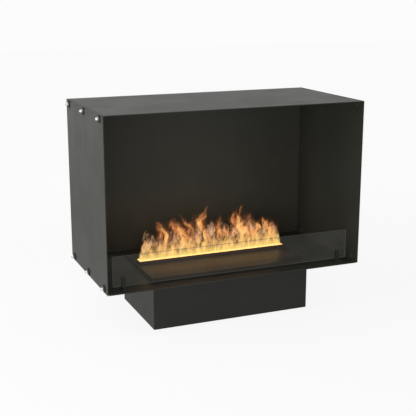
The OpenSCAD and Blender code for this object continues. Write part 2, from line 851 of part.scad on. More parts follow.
// A hood that gathers the mist from the sump into the narrow slot
module mist_hood() {
  front_y = burner_y - hood_w / 2 - cut;
  through = hood_wall + 2 * cut;
  color(plastic_black) difference() {
    translate([-hood_l / 2, burner_y, hood_z]) rotate([90, 0, 90])
      linear_extrude(hood_l) hood_outline(hood_w / 2, throat_out, 0);
    translate([-slot_l / 2, burner_y, hood_z]) rotate([90, 0, 90])
      linear_extrude(slot_l) hood_outline(hood_w / 2 - hood_wall, slot_w / 2, cut);
    for (s = [-1, 1]) {
      rod_y([s * fan_x, front_y, fan_z], fan_bore_d - 3, through);
      for (sx = [-1, 1], sz = [-1, 1])
        rod_y([s * fan_x + sx * fan_screw_off, front_y, fan_z + sz * fan_screw_off],
              fan_screw_d + 2 * run_fit, through);
    }
  }
}

module mist_makers() {
  bevel_z = maker_h * 0.6;
  color(plastic_black) for (x = maker_xs) translate([x, burner_y, sump_floor]) difference() {
    union() {
      cylinder(h = bevel_z, d = maker_d);
      translate([0, 0, bevel_z]) cylinder(h = maker_h - bevel_z, d1 = maker_d, d2 = maker_d * 0.8);
    }
    translate([0, 0, ring_z - sump_floor]) cylinder(h = maker_h, d = disc_d + 6);
    translate([0, 0, maker_h * 0.3]) cylinder(h = maker_h, d = disc_d * 0.6);
  }
}

module maker_seal_rings() {
  color(rubber_black) for (x = maker_xs) translate([x, burner_y, ring_z]) difference() {
    cylinder(h = ring_t, d = disc_d + 5);
    translate([0, 0, -cut]) cylinder(h = ring_t + 2 * cut, d = disc_d - 4);
  }
}

module maker_discs() {
  color(steel) for (x = maker_xs) translate([x, burner_y, ring_z + ring_t])
    cylinder(h = 1, d = disc_d);
}

// An angle bar on the hood's throat that carries a row of lights, s = -1 front and 1 rear
module led_bar(s) {
  y0 = throat_out;
  z0 = throat_z + fit;
  color(zinc) translate([-led_bar_l / 2, burner_y, 0]) rotate([90, 0, 90])
    linear_extrude(led_bar_l) mirror([s < 0 ? 1 : 0, 0]) polygon([
      [y0, z0], [y0 + led_bar_t, z0], [y0 + led_bar_t, led_z - led_bar_t],
      [y0 + led_bar_w, led_z - led_bar_t], [y0 + led_bar_w, led_z], [y0, led_z]
    ]);
}

module led_chips() {
  pitch = led_bar_l / led_count;
  color(amber) for (s = [-1, 1], i = [0:led_count - 1])
    slab((i - (led_count - 1) / 2) * pitch, burner_y + s * (throat_out + led_w / 2 + 0.5), led_z,
         led_w + 2, led_w, led_t);
}

module float_stem() {
  color(zinc) translate([float_x, burner_y, sump_floor]) {
    cylinder(h = float_foot_h, d = float_stem_d + 5);
    cylinder(h = float_stop_z + 2, d = float_stem_d);
    translate([0, 0, float_stop_z]) cylinder(h = 2, d = float_stem_d + 4);
  }
}

module float_ring() {
  color(plastic_white) translate([float_x, burner_y, sump_floor + float_foot_h]) difference() {
    cylinder(h = float_h, d = float_d);
    translate([0, 0, -cut]) cylinder(h = float_h + 2 * cut, d = float_stem_d + 2 * fit);
  }
}

// Fans: built along +Z from the inlet side, then laid along +Y against the hood

module at_fan(s) {
  translate([s * fan_x, fan_y, fan_z]) rotate([-90, 0, 0]) children();
}

module at_fan_screws() {
  for (sx = [-1, 1], sy = [-1, 1]) translate([sx * fan_screw_off, sy * fan_screw_off, 0]) children();
}

module fan_frame(s) {
  spoke_w = 4;
  color(plastic_black) at_fan(s) {
    difference() {
      slab(0, 0, 0, fan_side, fan_side, fan_depth);
      translate([0, 0, -cut]) cylinder(h = fan_depth + 2 * cut, d = fan_bore_d);
      at_fan_screws() translate([0, 0, -cut]) cylinder(h = fan_depth + 2 * cut, d = fan_screw_d + 2 * fit);
    }
    translate([0, 0, fan_depth - fan_hub_t]) {
      cylinder(h = fan_hub_t, d = fan_hub_d);
      for (a = [45:90:315])
        rotate(a) translate([0, -spoke_w / 2, 0]) cube([fan_bore_d / 2 + 0.8, spoke_w, fan_hub_t]);
    }
    translate([0, 0, 2 * fan_rotor_z]) cylinder(h = fan_depth - fan_hub_t - fan_rotor_z, d = fan_shaft_d);
  }
}

// A hub on a shaft with twisted blades
module fan_rotor(s) {
  blade_x0 = fan_hub_d / 2 - 1;
  blade_l = fan_rotor_d / 2 - blade_x0;
  color(plastic_black) at_fan(s) translate([0, 0, fan_rotor_z]) difference() {
    union() {
      cylinder(h = fan_rotor_h, d = fan_hub_d);
      for (i = [0:fan_blades - 1]) rotate(i * 360 / fan_blades)
        linear_extrude(fan_rotor_h - 1, twist = -38, slices = 4, segments = 4)
          translate([blade_x0, -fan_blade_t / 2]) square([blade_l, fan_blade_t]);
    }
    translate([0, 0, fan_rotor_z - 0.5]) cylinder(h = fan_rotor_h, d = fan_shaft_d + 2 * run_fit);
  }
}

module fan_screws() {
  color(zinc) for (s = [-1, 1]) at_fan(s) at_fan_screws()
    mirror([0, 0, 1]) pan_screw(fan_screw_d, fan_depth + hood_wall - 0.5);
}

// Electronics on the tray's floor, in front of the fans

module power_supply() {
  vent_l = electronics_d - 24;
  terminal_w = 24;
  color(steel) difference() {
    slab(supply_x, electronics_y, tray_floor, supply_w, electronics_d, supply_h);
    for (i = [-6.5:6.5])
      slab(supply_x + i * 10, electronics_y, tray_floor + supply_h - 1.5, 4, vent_l, 3);
    slab(supply_x + supply_w / 2, electronics_y, tray_floor + supply_h / 3, terminal_w,
         electronics_d - 12, supply_h);
  }
}

module control_box() {
  color(plastic_black) difference() {
    slab(control_x, electronics_y, tray_floor, control_w, electronics_d, control_h);
    slab(control_x, electronics_y, tray_floor + box_wall, control_w - 2 * box_wall,
         electronics_d - 2 * box_wall, control_h);
    for (y = [-20:10:20])
      slab(control_x - control_w / 2, electronics_y + y, tray_floor + control_h / 3, 4 * box_wall, 5, 8);
  }
}

module control_box_lid() {
  lid_t = 3;
  rim_in = 2 * box_wall + 2 * fit;
  color(plastic_black) difference() {
    union() {
      slab(control_x, electronics_y, tray_floor + control_h, control_w, electronics_d, lid_t);
      slab(control_x, electronics_y, tray_floor + control_h - lid_t, control_w - rim_in,
           electronics_d - rim_in, lid_t + cut);
    }
    slab(control_x, electronics_y, tray_floor + control_h - lid_t - cut, control_w - rim_in - 4,
         electronics_d - rim_in - 4, lid_t + cut);
    for (i = [-4:4])
      slab(control_x + i * 10, electronics_y, tray_floor + control_h - cut,
           3, electronics_d - 30, lid_t + 2 * cut);
  }
}

// Whatever stands at each of the driver board's four corner holes
module at_board_holes() {
  for (sx = [-1, 1], sy = [-1, 1])
    translate([board_x + sx * board_hole_x, electronics_y + sy * board_hole_y, tray_floor]) children();
}

module board_standoffs() {
  color(zinc) at_board_holes() {
    cylinder(h = standoff_h, d = 7, $fn = 6);
    cylinder(h = standoff_h + board_t + 2, d = 2.6);
  }
}

module driver_board() {
  coil_pitch = board_w / 7;
  color(board_green) difference() {
    union() {
      slab(board_x, electronics_y, tray_floor + standoff_h, board_w, electronics_d - 4, board_t);
      for (i = [0:maker_count - 1])
        translate([board_x + (i - (maker_count - 1) / 2) * coil_pitch,
                   electronics_y - electronics_d / 5, tray_floor + standoff_h])
          cylinder(h = board_t + coil_h, d = coil_d);
    }
    at_board_holes() translate([0, 0, standoff_h - cut])
      cylinder(h = board_t + 2 * cut, d = 2.6 + 2 * fit);
  }
}

module driver_heat_sink() {
  sink_z = tray_floor + standoff_h + board_t;
  sink_y = electronics_y + electronics_d / 6;
  sink_w = board_w - 2 * sink_margin;
  plate_h = fin_h / 5;
  color(zinc) {
    slab(board_x, sink_y, sink_z, sink_w, 7 * fin_pitch + fin_t, plate_h);
    for (i = [-3.5:3.5]) slab(board_x, sink_y + i * fin_pitch, sink_z, sink_w, fin_t, plate_h + fin_h);
  }
}

// Water tank and its basin

module tank_basin() {
  leg_d = 14;
  leg_x = basin_w / 2 - leg_d;
  leg_y = basin_d / 2 - leg_d;
  color(plastic_black) difference() {
    union() {
      difference() {
        slab(0, tank_y, basin_z, basin_w, basin_d, basin_h);
        slab(0, tank_y, basin_floor, basin_in_w, basin_in_d, basin_h);
      }
      for (s = [-1, 1])
        slab(s * rib_x, tank_y, basin_floor - 1, 4, basin_in_d + basin_wall, basin_rib_h + 1);
      translate([0, tank_y, basin_floor - 1]) cylinder(h = post_top - basin_floor + 1, d = post_d);
      for (sx = [-1, 1], sy = [-1, 1])
        translate([sx * leg_x, tank_y + sy * leg_y, tray_floor]) cylinder(h = basin_leg_h + 1, d = leg_d);
    }
    rod_y([0, tank_y - basin_d / 2 - cut, feed_z], feed_d + 2 * fit, basin_wall + 2 * cut);
    for (s = [-1, 1]) slab(s * rib_x, tank_y, basin_floor, 12, 20, 12);
  }
}

module feed_pipe() {
  spigot = 2;
  y0 = burner_y + hood_w / 2 - hood_wall - spigot;
  l = hood_wall + basin_gap + basin_wall + 2 * spigot;
  color(rubber_black) difference() {
    union() {
      rod_y([0, y0, feed_z], feed_d, l);
      rod_y([0, burner_y + hood_w / 2 + fit, feed_z], feed_d + 6, basin_gap - 2 * fit);
    }
    rod_y([0, y0 - cut, feed_z], feed_d - 5, l + 2 * cut);
  }
}

// A ring segment of lug height h at z, out to radius r, centred on angle a and spread wide
module lug_arc(a, spread, r0, r1, z, h) {
  rotate(a - spread / 2) rotate_extrude(angle = spread) translate([r0, z]) square([r1 - r0, h]);
}

module water_tank() {
  tank_h = tank_lid_z - tank_z;
  color(clear_plastic) difference() {
    union() {
      slab(0, tank_y, tank_z, tank_w, tank_d, tank_h);
      translate([0, tank_y, neck_z]) cylinder(h = neck_h + 1, d = neck_d);
      for (a = [0, 180])
        translate([0, tank_y, 0])
          lug_arc(a, lug_angle, neck_d / 2 - 1, neck_d / 2 + lug_out, lug_z, lug_h);
    }
    slab(0, tank_y, tank_z + tank_wall, tank_w - 2 * tank_wall, tank_d - 2 * tank_wall,
         tank_h - 2 * tank_wall);
    translate([0, tank_y, neck_z - cut]) cylinder(h = neck_h + tank_wall + 2 * cut, d = neck_bore_d);
  }
}

module tank_lid() {
  recess_mid = bail_pivot_y + (recess_y0 + recess_y1) / 2;
  scoop_l = bail_reach - 2;
  color(powder_black) difference() {
    slab(0, tank_y, tank_lid_z, tank_lid_w, tank_lid_d, tank_lid_h);
    slab(0, recess_mid, cover_top - recess_depth, recess_w, recess_y1 - recess_y0, recess_depth + cut);
    slab(0, bail_pivot_y + bail_reach + 5 - scoop_l / 2, cover_top - scoop_depth,
         scoop_w, scoop_l, scoop_depth);
    for (s = [-1, 1])
      rod_x([s * recess_w / 2 - bail_pin_l, bail_pivot_y, bail_pivot_z],
            bail_pin_d + 2 * run_fit, 2 * bail_pin_l);
  }
}

// A bail that lies in the lid's recess and turns up on two pins
module tank_handle() {
  pin_x = recess_w / 2 + bail_pin_l - 1;
  color(steel) {
    for (s = [-1, 1]) {
      rod_x([s > 0 ? bail_w / 2 : -pin_x, bail_pivot_y, bail_pivot_z], bail_pin_d, pin_x - bail_w / 2);
      rod_x([s * bail_w / 2 - bail_bar_d / 2, bail_pivot_y, bail_pivot_z], bail_bar_d, bail_bar_d);
      rod_y([s * bail_w / 2, bail_pivot_y, bail_pivot_z], bail_bar_d - 1, bail_reach);
      translate([s * bail_w / 2, bail_pivot_y + bail_reach, bail_pivot_z]) sphere(d = bail_bar_d);
    }
    rod_x([-bail_w / 2, bail_pivot_y + bail_reach, bail_pivot_z], bail_bar_d, bail_w);
  }
}

// A bayonet cap: the neck's lugs enter by two slots and lock in two grooves
module tank_cap() {
  grips = 16;
  groove_r = neck_d / 2 + lug_out + fit;
  play = 2;
  entry = lug_angle + 2 * play;
  sweep = entry + cap_turn;
  color(plastic_black) translate([0, tank_y, 0]) difference() {
    translate([0, 0, cap_z]) cylinder(h = cap_h, r = cap_r);
    translate([0, 0, cap_z + cap_floor_t]) cylinder(h = cap_h, d = neck_d + 2 * fit);
    translate([0, 0, cap_z - cut]) cylinder(h = cap_floor_t + 2 * cut, d = valve_hole_d);
    for (a = [0, 180]) {
      lug_arc(a - cap_turn / 2, sweep, neck_d / 2 - 1, groove_r, lug_z - fit, lug_h + 2 * fit);
      lug_arc(a - cap_turn, entry, neck_d / 2 - 1, groove_r, lug_z, cap_h);
    }
    for (i = [0:grips - 1])
      rotate(i * 360 / grips) translate([cap_r + 1, 0, cap_z - cut]) cylinder(h = cap_h + 2 * cut, d = 3);
  }
}

module cap_seal() {
  seal_z = cap_z + cap_floor_t;
  color(rubber_black) translate([0, tank_y, seal_z]) difference() {
    cylinder(h = neck_z - seal_z, d = neck_d);
    translate([0, 0, -cut]) cylinder(h = neck_h, d = neck_bore_d);
  }
}

// The valve's plunger: the basin's post holds it up while the tank is seated
module cap_plunger() {
  disc_z = cap_z + cap_floor_t + plunger_lift;
  disc_t = 2.4;
  color(plastic_white) translate([0, tank_y, 0]) {
    translate([0, 0, post_top]) cylinder(h = disc_z + disc_t + 5 - post_top, d = stem_d);
    translate([0, 0, disc_z]) cylinder(h = disc_t, d = valve_disc_d);
  }
}

// Rear controls

// The inlet's three flat pins from y0, each side wider by over
module inlet_pin_bars(y0, l, over) {
  for (p = inlet_pins)
    slab(inlet_x + p.x, y0 + l / 2, control_z + p.y - 2 - over, 2 + 2 * over, l, 4 + 2 * over);
}

module power_inlet() {
  bezel = 4;
  inlet_z = control_z - inlet_h / 2;
  color(plastic_black) difference() {
    union() {
      slab(inlet_x, base_y1 - inlet_depth / 2, inlet_z, inlet_w, inlet_depth, inlet_h);
      slab(inlet_x, base_y1 + 1, inlet_z - bezel, inlet_w + 2 * bezel, 2, inlet_h + 2 * bezel);
    }
    slab(inlet_x, base_y1 + 3, inlet_z + 2, inlet_w - 3, 2 * inlet_depth, inlet_h - 4);
    inlet_pin_bars(base_y1 - inlet_depth - cut, inlet_depth, run_fit);
  }
}

module inlet_pins() {
  color(steel) inlet_pin_bars(base_y1 - inlet_depth - 3, inlet_depth, 0);
}

// The switch's open body with its bezel, bored across for the rocker's pin
module switch_body() {
  bezel = 2;
  wall = 1.5;
  color(plastic_black) difference() {
    union() {
      slab(switch_x, base_y1 - switch_depth / 2, control_z - switch_h / 2,
           switch_w, switch_depth, switch_h);
      slab(switch_x, base_y1 + 1, control_z - switch_h / 2 - bezel,
           switch_w + 2 * bezel, 2, switch_h + 2 * bezel);
    }
    slab(switch_x, base_y1 + 3 - switch_depth / 2, control_z - switch_h / 2 + wall,
         switch_w - 2 * wall, switch_depth, switch_h - 2 * wall);
    rod_x([switch_x - switch_w / 2 - cut, switch_pivot_y, control_z],
          switch_pin_d + 2 * run_fit, switch_w + 2 * cut);
  }
}

module switch_rocker() {
  half = switch_h / 2 - 2.6;
  w = switch_w - 3.8;
  tip = 3.6;
  face = 4.4;
  color(switch_red) translate([switch_x, switch_pivot_y, control_z]) rotate([rocker_tilt, 0, 0]) {
    translate([-w / 2, 0, 0]) rotate([90, 0, 90]) linear_extrude(w) {
      circle(3);
      polygon([
        [-2, 1 - half], [tip, -half], [face, -half * 0.4], [face, half * 0.4], [tip, half], [-2, half - 1]
      ]);
    }
    rod_x([0.4 - switch_w / 2, 0, 0], switch_pin_d, switch_w - 0.8);
  }
}

module button_housing() {
  housing_w = 2 * button_pitch + 2 * button_flange_d;
  housing_d = 10;
  pocket_d = button_flange_t + button_travel + 1;
  color(plastic_black) difference() {
    slab(button_x, rear_in_y - housing_d / 2, control_z - button_flange_d,
         housing_w, housing_d, 2 * button_flange_d);
    for (x = button_xs)
      rod_y([x, rear_in_y - pocket_d, control_z], button_flange_d + 2 * fit, pocket_d + cut);
  }
}

module push_button(x) {
  head_out = button_travel + 2;
  flange_y = rear_in_y - fit / 2 - button_flange_t;
  color(plastic_grey) {
    rod_y([x, flange_y, control_z], button_d, base_y1 + head_out - flange_y);
    rod_y([x, flange_y, control_z], button_flange_d, button_flange_t);
  }
}

// A louvred frame that plugs into the rear panel and pulls out by its lower tab
module filter_frame() {
  bars = 8;
  lip = 6;
  wall = 2.5;
  pitch = (filter_h - 2 * wall) / bars;
  z0 = filter_z - filter_h / 2;
  color(plastic_black) {
    difference() {
      union() {
        slab(filter_x, base_y1 - filter_depth / 2, z0, filter_w, filter_depth, filter_h);
        slab(filter_x, base_y1 + 1, z0 - lip, filter_w + 2 * lip, 2, filter_h + 2 * lip);
      }
      slab(filter_x, base_y1, z0 + wall, filter_w - 2 * wall, 3 * filter_depth, filter_h - 2 * wall);
    }
    for (i = [1:bars - 1])
      translate([filter_x, base_y1 - 1, z0 + wall + i * pitch]) rotate([35, 0, 0])
        cube([filter_w - wall, 7, 1.6], center = true);
    for (s = [-1, 0, 1])
      slab(filter_x + s * filter_w / 4, base_y1 - 3, z0 + wall / 2, 2, 3, filter_h - wall);
    slab(filter_x, base_y1 + 6, z0 - lip, 24, 9, 2);
  }
}

side_panel(-1);  // left_side_panel
side_panel(1);  // right_side_panel
top_panel();
floor_panel();
back_panel();
back_screws();
casing_bolts();
casing_washers();
casing_dome_nuts();
base_shell();
base_bottom_plate();
base_rear_panel();
base_screws();
panel_screws();
glass_guard();
glass_holder(-1);  // glass_holder_left
glass_holder(1);  // glass_holder_right
glass_liners();
burner_cover();
slot_light_frame();
cassette_tray();
mist_sump();
hood_gasket();
mist_hood();
mist_makers();
maker_discs();
maker_seal_rings();
led_bar(-1);  // led_bar_front
led_bar(1);  // led_bar_rear
led_chips();
float_stem();
float_ring();
fan_frame(-1);  // fan_frame_left
fan_frame(1);  // fan_frame_right
fan_rotor(-1);  // fan_rotor_left
fan_rotor(1);  // fan_rotor_right
fan_screws();
power_supply();
control_box();
control_box_lid();
driver_board();
driver_heat_sink();
board_standoffs();
tank_basin();
feed_pipe();
water_tank();
tank_lid();
tank_handle();
tank_cap();
cap_seal();
cap_plunger();
power_inlet();
inlet_pins();
switch_body();
switch_rocker();
button_housing();
push_button(button_xs[0]);  // button_mode
push_button(button_xs[1]);  // button_up
push_button(button_xs[2]);  // button_down
filter_frame();
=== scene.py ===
"""Looks of the water vapour fireplace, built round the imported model, in metres, with its front to -Y."""
import json

import bpy
import numpy as np
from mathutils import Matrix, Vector, noise


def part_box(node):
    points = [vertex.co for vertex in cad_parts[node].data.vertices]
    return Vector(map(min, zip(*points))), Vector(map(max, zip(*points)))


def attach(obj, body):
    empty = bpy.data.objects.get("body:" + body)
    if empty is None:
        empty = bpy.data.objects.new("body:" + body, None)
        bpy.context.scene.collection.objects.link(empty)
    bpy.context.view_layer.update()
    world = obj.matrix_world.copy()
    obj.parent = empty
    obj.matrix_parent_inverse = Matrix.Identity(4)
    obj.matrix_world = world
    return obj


# Bounces allowed to a ray that crosses the pane and the sheets of glow
CLEAR_BOUNCES = 24

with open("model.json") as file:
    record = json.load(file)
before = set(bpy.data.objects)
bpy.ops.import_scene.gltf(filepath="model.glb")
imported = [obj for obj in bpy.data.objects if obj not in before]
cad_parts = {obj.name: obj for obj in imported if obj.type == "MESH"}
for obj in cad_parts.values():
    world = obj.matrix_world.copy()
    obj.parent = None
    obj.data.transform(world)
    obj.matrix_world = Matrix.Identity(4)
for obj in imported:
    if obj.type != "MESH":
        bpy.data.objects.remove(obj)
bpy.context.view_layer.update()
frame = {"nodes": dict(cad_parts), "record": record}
scene = bpy.context.scene
scene.view_settings.view_transform = "Standard"
scene.cycles.transparent_max_bounces = CLEAR_BOUNCES


def aim(thing, place, direction):
    """Put a camera or a lamp at a place, turned along a direction, without roll."""
    thing.location = place
    thing.rotation_euler = Vector(direction).to_track_quat("-Z", "Y").to_euler()
    scene.collection.objects.link(thing)


# Camera: the photograph's viewpoint. Lens and sensor are in millimetres
CAMERA_PLACE = (-1.2878, -3.0351, 1.2138)
CAMERA_LOOK = (0.37280, 0.89523, -0.24410)
CAMERA_LENS = 76.5
CAMERA_SENSOR = 36.0
CAMERA_NEAR = 0.05
CAMERA_FAR = 60.0

camera_data = bpy.data.cameras.new("camera")
camera_data.lens = CAMERA_LENS
camera_data.sensor_width = CAMERA_SENSOR
camera_data.clip_start = CAMERA_NEAR
camera_data.clip_end = CAMERA_FAR
camera = bpy.data.objects.new("camera", camera_data)
aim(camera, CAMERA_PLACE, CAMERA_LOOK)
scene.camera = camera


# Node helpers
# SPREAD is the stretch of a noise's output that holds most of it, and NARROW its middle
SPREAD = (0.3, 0.7)
NARROW = (0.35, 0.65)
NOISE_ROUGHNESS = 0.55
EVEN = (1.0, 1.0, 1.0)
BLACK = (0.0, 0.0, 0.0)

# Places of the colour sockets among a mix node's inputs and outputs
MIX_COLOURS = (6, 7)
MIX_RESULT = 2


def toned(colour, factor):
    """A lighter or darker tone of the colour, never past 1."""
    return tuple(min(1.0, value * factor) for value in colour)


class Material:
    """A Principled material with helpers for the procedural inputs it is fed from."""

    def __init__(self, name, colour, roughness, metallic=0.0, **sockets):
        self.mat = bpy.data.materials.new(name)
        self.mat.use_nodes = True
        self.tree = self.mat.node_tree
        self.shader = self.tree.nodes["Principled BSDF"]
        self.place = self.node("ShaderNodeTexCoord").outputs["Object"]
        self.feed(colour, "Base Color")
        self.feed(roughness, "Roughness")
        self.feed(metallic, "Metallic")
        for key, value in sockets.items():
            self.feed(value, key.replace("_", " "))

    def node(self, kind, **values):
        """A new node with some of its settings."""
        made = self.tree.nodes.new(kind)
        for key, value in values.items():
            setattr(made, key, value)
        return made

    def put(self, value, target):
        """Link an output to the target, or write a number or a colour there."""
        if isinstance(value, bpy.types.NodeSocket):
            self.tree.links.new(value, target)
        elif isinstance(value, tuple):
            target.default_value = (*value, 1.0)
        else:
            target.default_value = value

    def feed(self, value, socket):
        """Put a value into one of the shader's own sockets."""
        self.put(value, self.shader.inputs[socket])

    def coords(self, stretch=EVEN):
        """Places on the object, stretched along its axes."""
        mapping = self.node("ShaderNodeMapping")
        mapping.inputs["Scale"].default_value = stretch
        self.put(self.place, mapping.inputs["Vector"])
        return mapping.outputs["Vector"]

    def noise(self, scale, detail=3.0, stretch=EVEN, distortion=0.0):
        """Noise with a number of features to the metre."""
        made = self.node("ShaderNodeTexNoise")
        made.inputs["Scale"].default_value = scale
        made.inputs["Detail"].default_value = detail
        made.inputs["Roughness"].default_value = NOISE_ROUGHNESS
        made.inputs["Distortion"].default_value = distortion
        self.put(self.coords(stretch), made.inputs["Vector"])
        return made.outputs["Fac"]

    def span(self, source, low, high, out_low=0.0, out_high=1.0, smooth=True):
        """Carry the source's stretch from low to high over to another stretch."""
        made = self.node("ShaderNodeMapRange")
        made.interpolation_type = "SMOOTHSTEP" if smooth else "LINEAR"
        ends = {"From Min": low, "From Max": high, "To Min": out_low, "To Max": out_high}
        for key, value in ends.items():
            made.inputs[key].default_value = value
        self.put(source, made.inputs["Value"])
        return made.outputs["Result"]

    def math(self, kind, *values):
        """Arithmetic on one or two outputs or numbers."""
        made = self.node("ShaderNodeMath", operation=kind)
        for value, target in zip(values, made.inputs):
            self.put(value, target)
        return made.outputs["Value"]

    def mix(self, factor, first, second, kind="MIX"):
        """Two colours mixed, the first at factor 0 and the second at 1."""
        made = self.node("ShaderNodeMix", data_type="RGBA", blend_type=kind)
        self.put(factor, made.inputs["Factor"])
        for value, place in zip((first, second), MIX_COLOURS):
            self.put(value, made.inputs[place])
        return made.outputs[MIX_RESULT]

    def shade(self, pattern, colour, dark, light=1.0, reach=SPREAD):
        """The base colour runs from a dark to a light tone along the pattern."""
        tones = self.mix(self.span(pattern, *reach), toned(colour, dark), toned(colour, light))
        self.feed(tones, "Base Color")

    def gloss(self, pattern, low, high, reach=SPREAD):
        """The roughness runs from low to high along the pattern."""
        self.feed(self.span(pattern, *reach, low, high), "Roughness")

    def bump(self, height, strength, depth):
        """Fine relief in the surface, as deep as the height says."""
        made = self.node("ShaderNodeBump")
        made.inputs["Strength"].default_value = strength
        made.inputs["Distance"].default_value = depth
        self.put(height, made.inputs["Height"])
        self.feed(made.outputs["Normal"], "Normal")


# Materials of the CAD nodes
SKIN_DEPTH = 0.0002
LINE_DEPTH = 0.0001


def powder_coat(name, colour, roughness, sheen):
    """Fine black powder coat: an orange-peel skin of about a millimetre over a faint cloudiness."""
    cloudiness = 0.07
    wear = 0.03
    speck_tone = 1.9
    speck_reach = (0.52, 0.72)
    speck_share = 0.5
    made = Material(name, colour, roughness, Specular_IOR_Level=sheen)
    clouds = made.noise(scale=7.0, detail=4.0)
    grain = made.noise(scale=900.0, detail=2.0)
    peel = made.noise(scale=420.0, detail=1.0)
    dark = toned(colour, 1 - cloudiness)
    light = toned(colour, 1 + cloudiness)
    tone = made.mix(made.span(clouds, *SPREAD), dark, light)
    specks = made.span(grain, *speck_reach, 0.0, speck_share)
    made.feed(made.mix(specks, tone, toned(colour, speck_tone)), "Base Color")
    made.gloss(clouds, roughness - wear, roughness + wear)
    made.bump(made.math("ADD", grain, peel), strength=0.16, depth=SKIN_DEPTH)
    return made.mat


def polished_steel(name, colour, roughness):
    """Turned or pressed stainless steel: fine lines and a trace of handling marks."""
    made = Material(name, colour, roughness, metallic=1.0)
    lines = made.noise(scale=260.0, detail=4.0, stretch=(1.0, 1.0, 9.0))
    marks = made.noise(scale=60.0)
    made.shade(marks, colour, dark=0.88, reach=NARROW)
    made.gloss(lines, low=roughness * 0.75, high=roughness * 1.35)
    made.bump(lines, strength=0.06, depth=LINE_DEPTH)
    return made.mat


def zinc_plate(name, colour, roughness):
    """Zinc-plated sheet with its faint crystal spangle."""
    crystals_to_the_metre = 70.0
    spangle_share = 0.22
    made = Material(name, colour, roughness, metallic=1.0)
    crystals = made.node("ShaderNodeTexVoronoi")
    crystals.inputs["Scale"].default_value = crystals_to_the_metre
    made.put(made.coords(), crystals.inputs["Vector"])
    spangle = made.mix(spangle_share, colour, crystals.outputs["Color"], "OVERLAY")
    grey = made.node("ShaderNodeRGBToBW")
    made.put(spangle, grey.inputs["Color"])
    made.shade(grey.outputs["Val"], colour, dark=0.82, reach=(0.3, 0.8))
    made.gloss(made.noise(scale=90.0), low=roughness - 0.07, high=roughness + 0.08)
    made.bump(made.noise(scale=300.0, detail=2.0), strength=0.05, depth=LINE_DEPTH)
    return made.mat


def drawn_aluminium(name, colour, roughness):
    """Extruded or folded aluminium with lines along X."""
    made = Material(name, colour, roughness, metallic=1.0)
    lines = made.noise(scale=700.0, stretch=(0.03, 1.0, 1.0))
    made.shade(lines, colour, dark=0.86)
    made.gloss(lines, low=roughness - 0.06, high=roughness + 0.08)
    made.bump(lines, strength=0.08, depth=LINE_DEPTH)
    return made.mat


def moulded(name, colour, roughness, grain, relief=0.12, **sockets):
    """Moulded plastic or rubber with a fine spark-eroded texture."""
    made = Material(name, colour, roughness, **sockets)
    skin = made.noise(scale=grain)
    clouds = made.noise(scale=16.0)
    made.shade(clouds, colour, dark=0.85, light=1.12)
    made.gloss(skin, low=roughness - 0.05, high=roughness + 0.06)
    made.bump(skin, strength=relief, depth=SKIN_DEPTH)
    return made.mat


def clear_tank(name, colour, roughness):
    """Clear moulded plastic, a little cloudy along its flow lines."""
    flow_reach = (0.35, 0.7)
    made = Material(name, colour, roughness, IOR=1.45, Transmission_Weight=0.9)
    flow = made.noise(scale=22.0, stretch=(0.4, 1.0, 1.0))
    made.shade(flow, colour, dark=0.94, reach=flow_reach)
    made.gloss(flow, low=0.05, high=0.16, reach=flow_reach)
    return made.mat


def smoked_pane(name, tint, cover):
    """Tinted flat glass: mostly see-through, denser at its cut rims, with a soft film of handling marks.

    The thin veil on it is written as a faint glow over a black base. Lit as a colour, so thin a cover
    breaks into grain."""
    veil_glow = 1.12
    film_depth = 0.1
    cover_change = 0.08
    rim_cover = 0.62
    rim_tone = 0.45
    rim_turn = (0.5, 0.9)
    made = Material(name, BLACK, roughness=0.04, IOR=1.5, Specular_IOR_Level=0.0)
    made.feed(veil_glow, "Emission Strength")
    film = made.noise(scale=9.0, detail=4.0, stretch=(1.0, 1.0, 1.6))
    made.gloss(film, low=0.03, high=0.10, reach=(0.45, 0.8))
    normal = made.node("ShaderNodeSeparateXYZ")
    made.put(made.node("ShaderNodeNewGeometry").outputs["True Normal"], normal.inputs["Vector"])
    facing = made.span(made.math("ABSOLUTE", normal.outputs["Y"]), *rim_turn)
    veil = made.mix(made.span(film, *SPREAD), toned(tint, 1 - film_depth), toned(tint, 1 + film_depth))
    made.feed(made.mix(facing, toned(tint, rim_tone), veil), "Emission Color")
    clear = made.span(film, *SPREAD, cover * (1 - cover_change), cover * (1 + cover_change))
    rim = made.span(facing, 0.0, 1.0, rim_cover, 0.0, smooth=False)
    made.feed(made.math("ADD", clear, rim), "Alpha")
    return made.mat


def lit_plastic(name, colour, light, strength):
    """Translucent plastic lit from within, a little warmer and dimmer between soft bright spots."""
    warm_tint = (0.95, 0.80, 0.55)
    made = Material(name, colour, roughness=0.3)
    spots = made.noise(scale=46.0, detail=2.0, stretch=(1.0, 0.2, 0.2))
    grain = made.noise(scale=300.0, detail=2.0)
    warm = tuple(value * share for value, share in zip(light, warm_tint))
    made.feed(made.mix(made.span(spots, *NARROW), warm, light), "Emission Color")
    made.feed(strength, "Emission Strength")
    made.shade(grain, colour, dark=0.9)
    made.bump(grain, strength=0.05, depth=SKIN_DEPTH)
    return made.mat


def circuit_board(name, colour, roughness):
    """Lacquered board: darker ground, lighter tracks along X and Y."""
    made = Material(name, colour, roughness)
    tracks = made.node("ShaderNodeTexBrick")
    tracks.inputs["Scale"].default_value = 120.0
    tracks.inputs["Mortar Size"].default_value = 0.06
    for socket, tone in (("Color1", 1.0), ("Color2", 0.8), ("Mortar", 1.9)):
        made.put(toned(colour, tone), tracks.inputs[socket])
    made.put(made.coords(), tracks.inputs["Vector"])
    made.feed(tracks.outputs["Color"], "Base Color")
    made.gloss(made.noise(scale=60.0), low=0.25, high=0.4)
    made.bump(tracks.outputs["Fac"], strength=0.2, depth=LINE_DEPTH)
    return made.mat


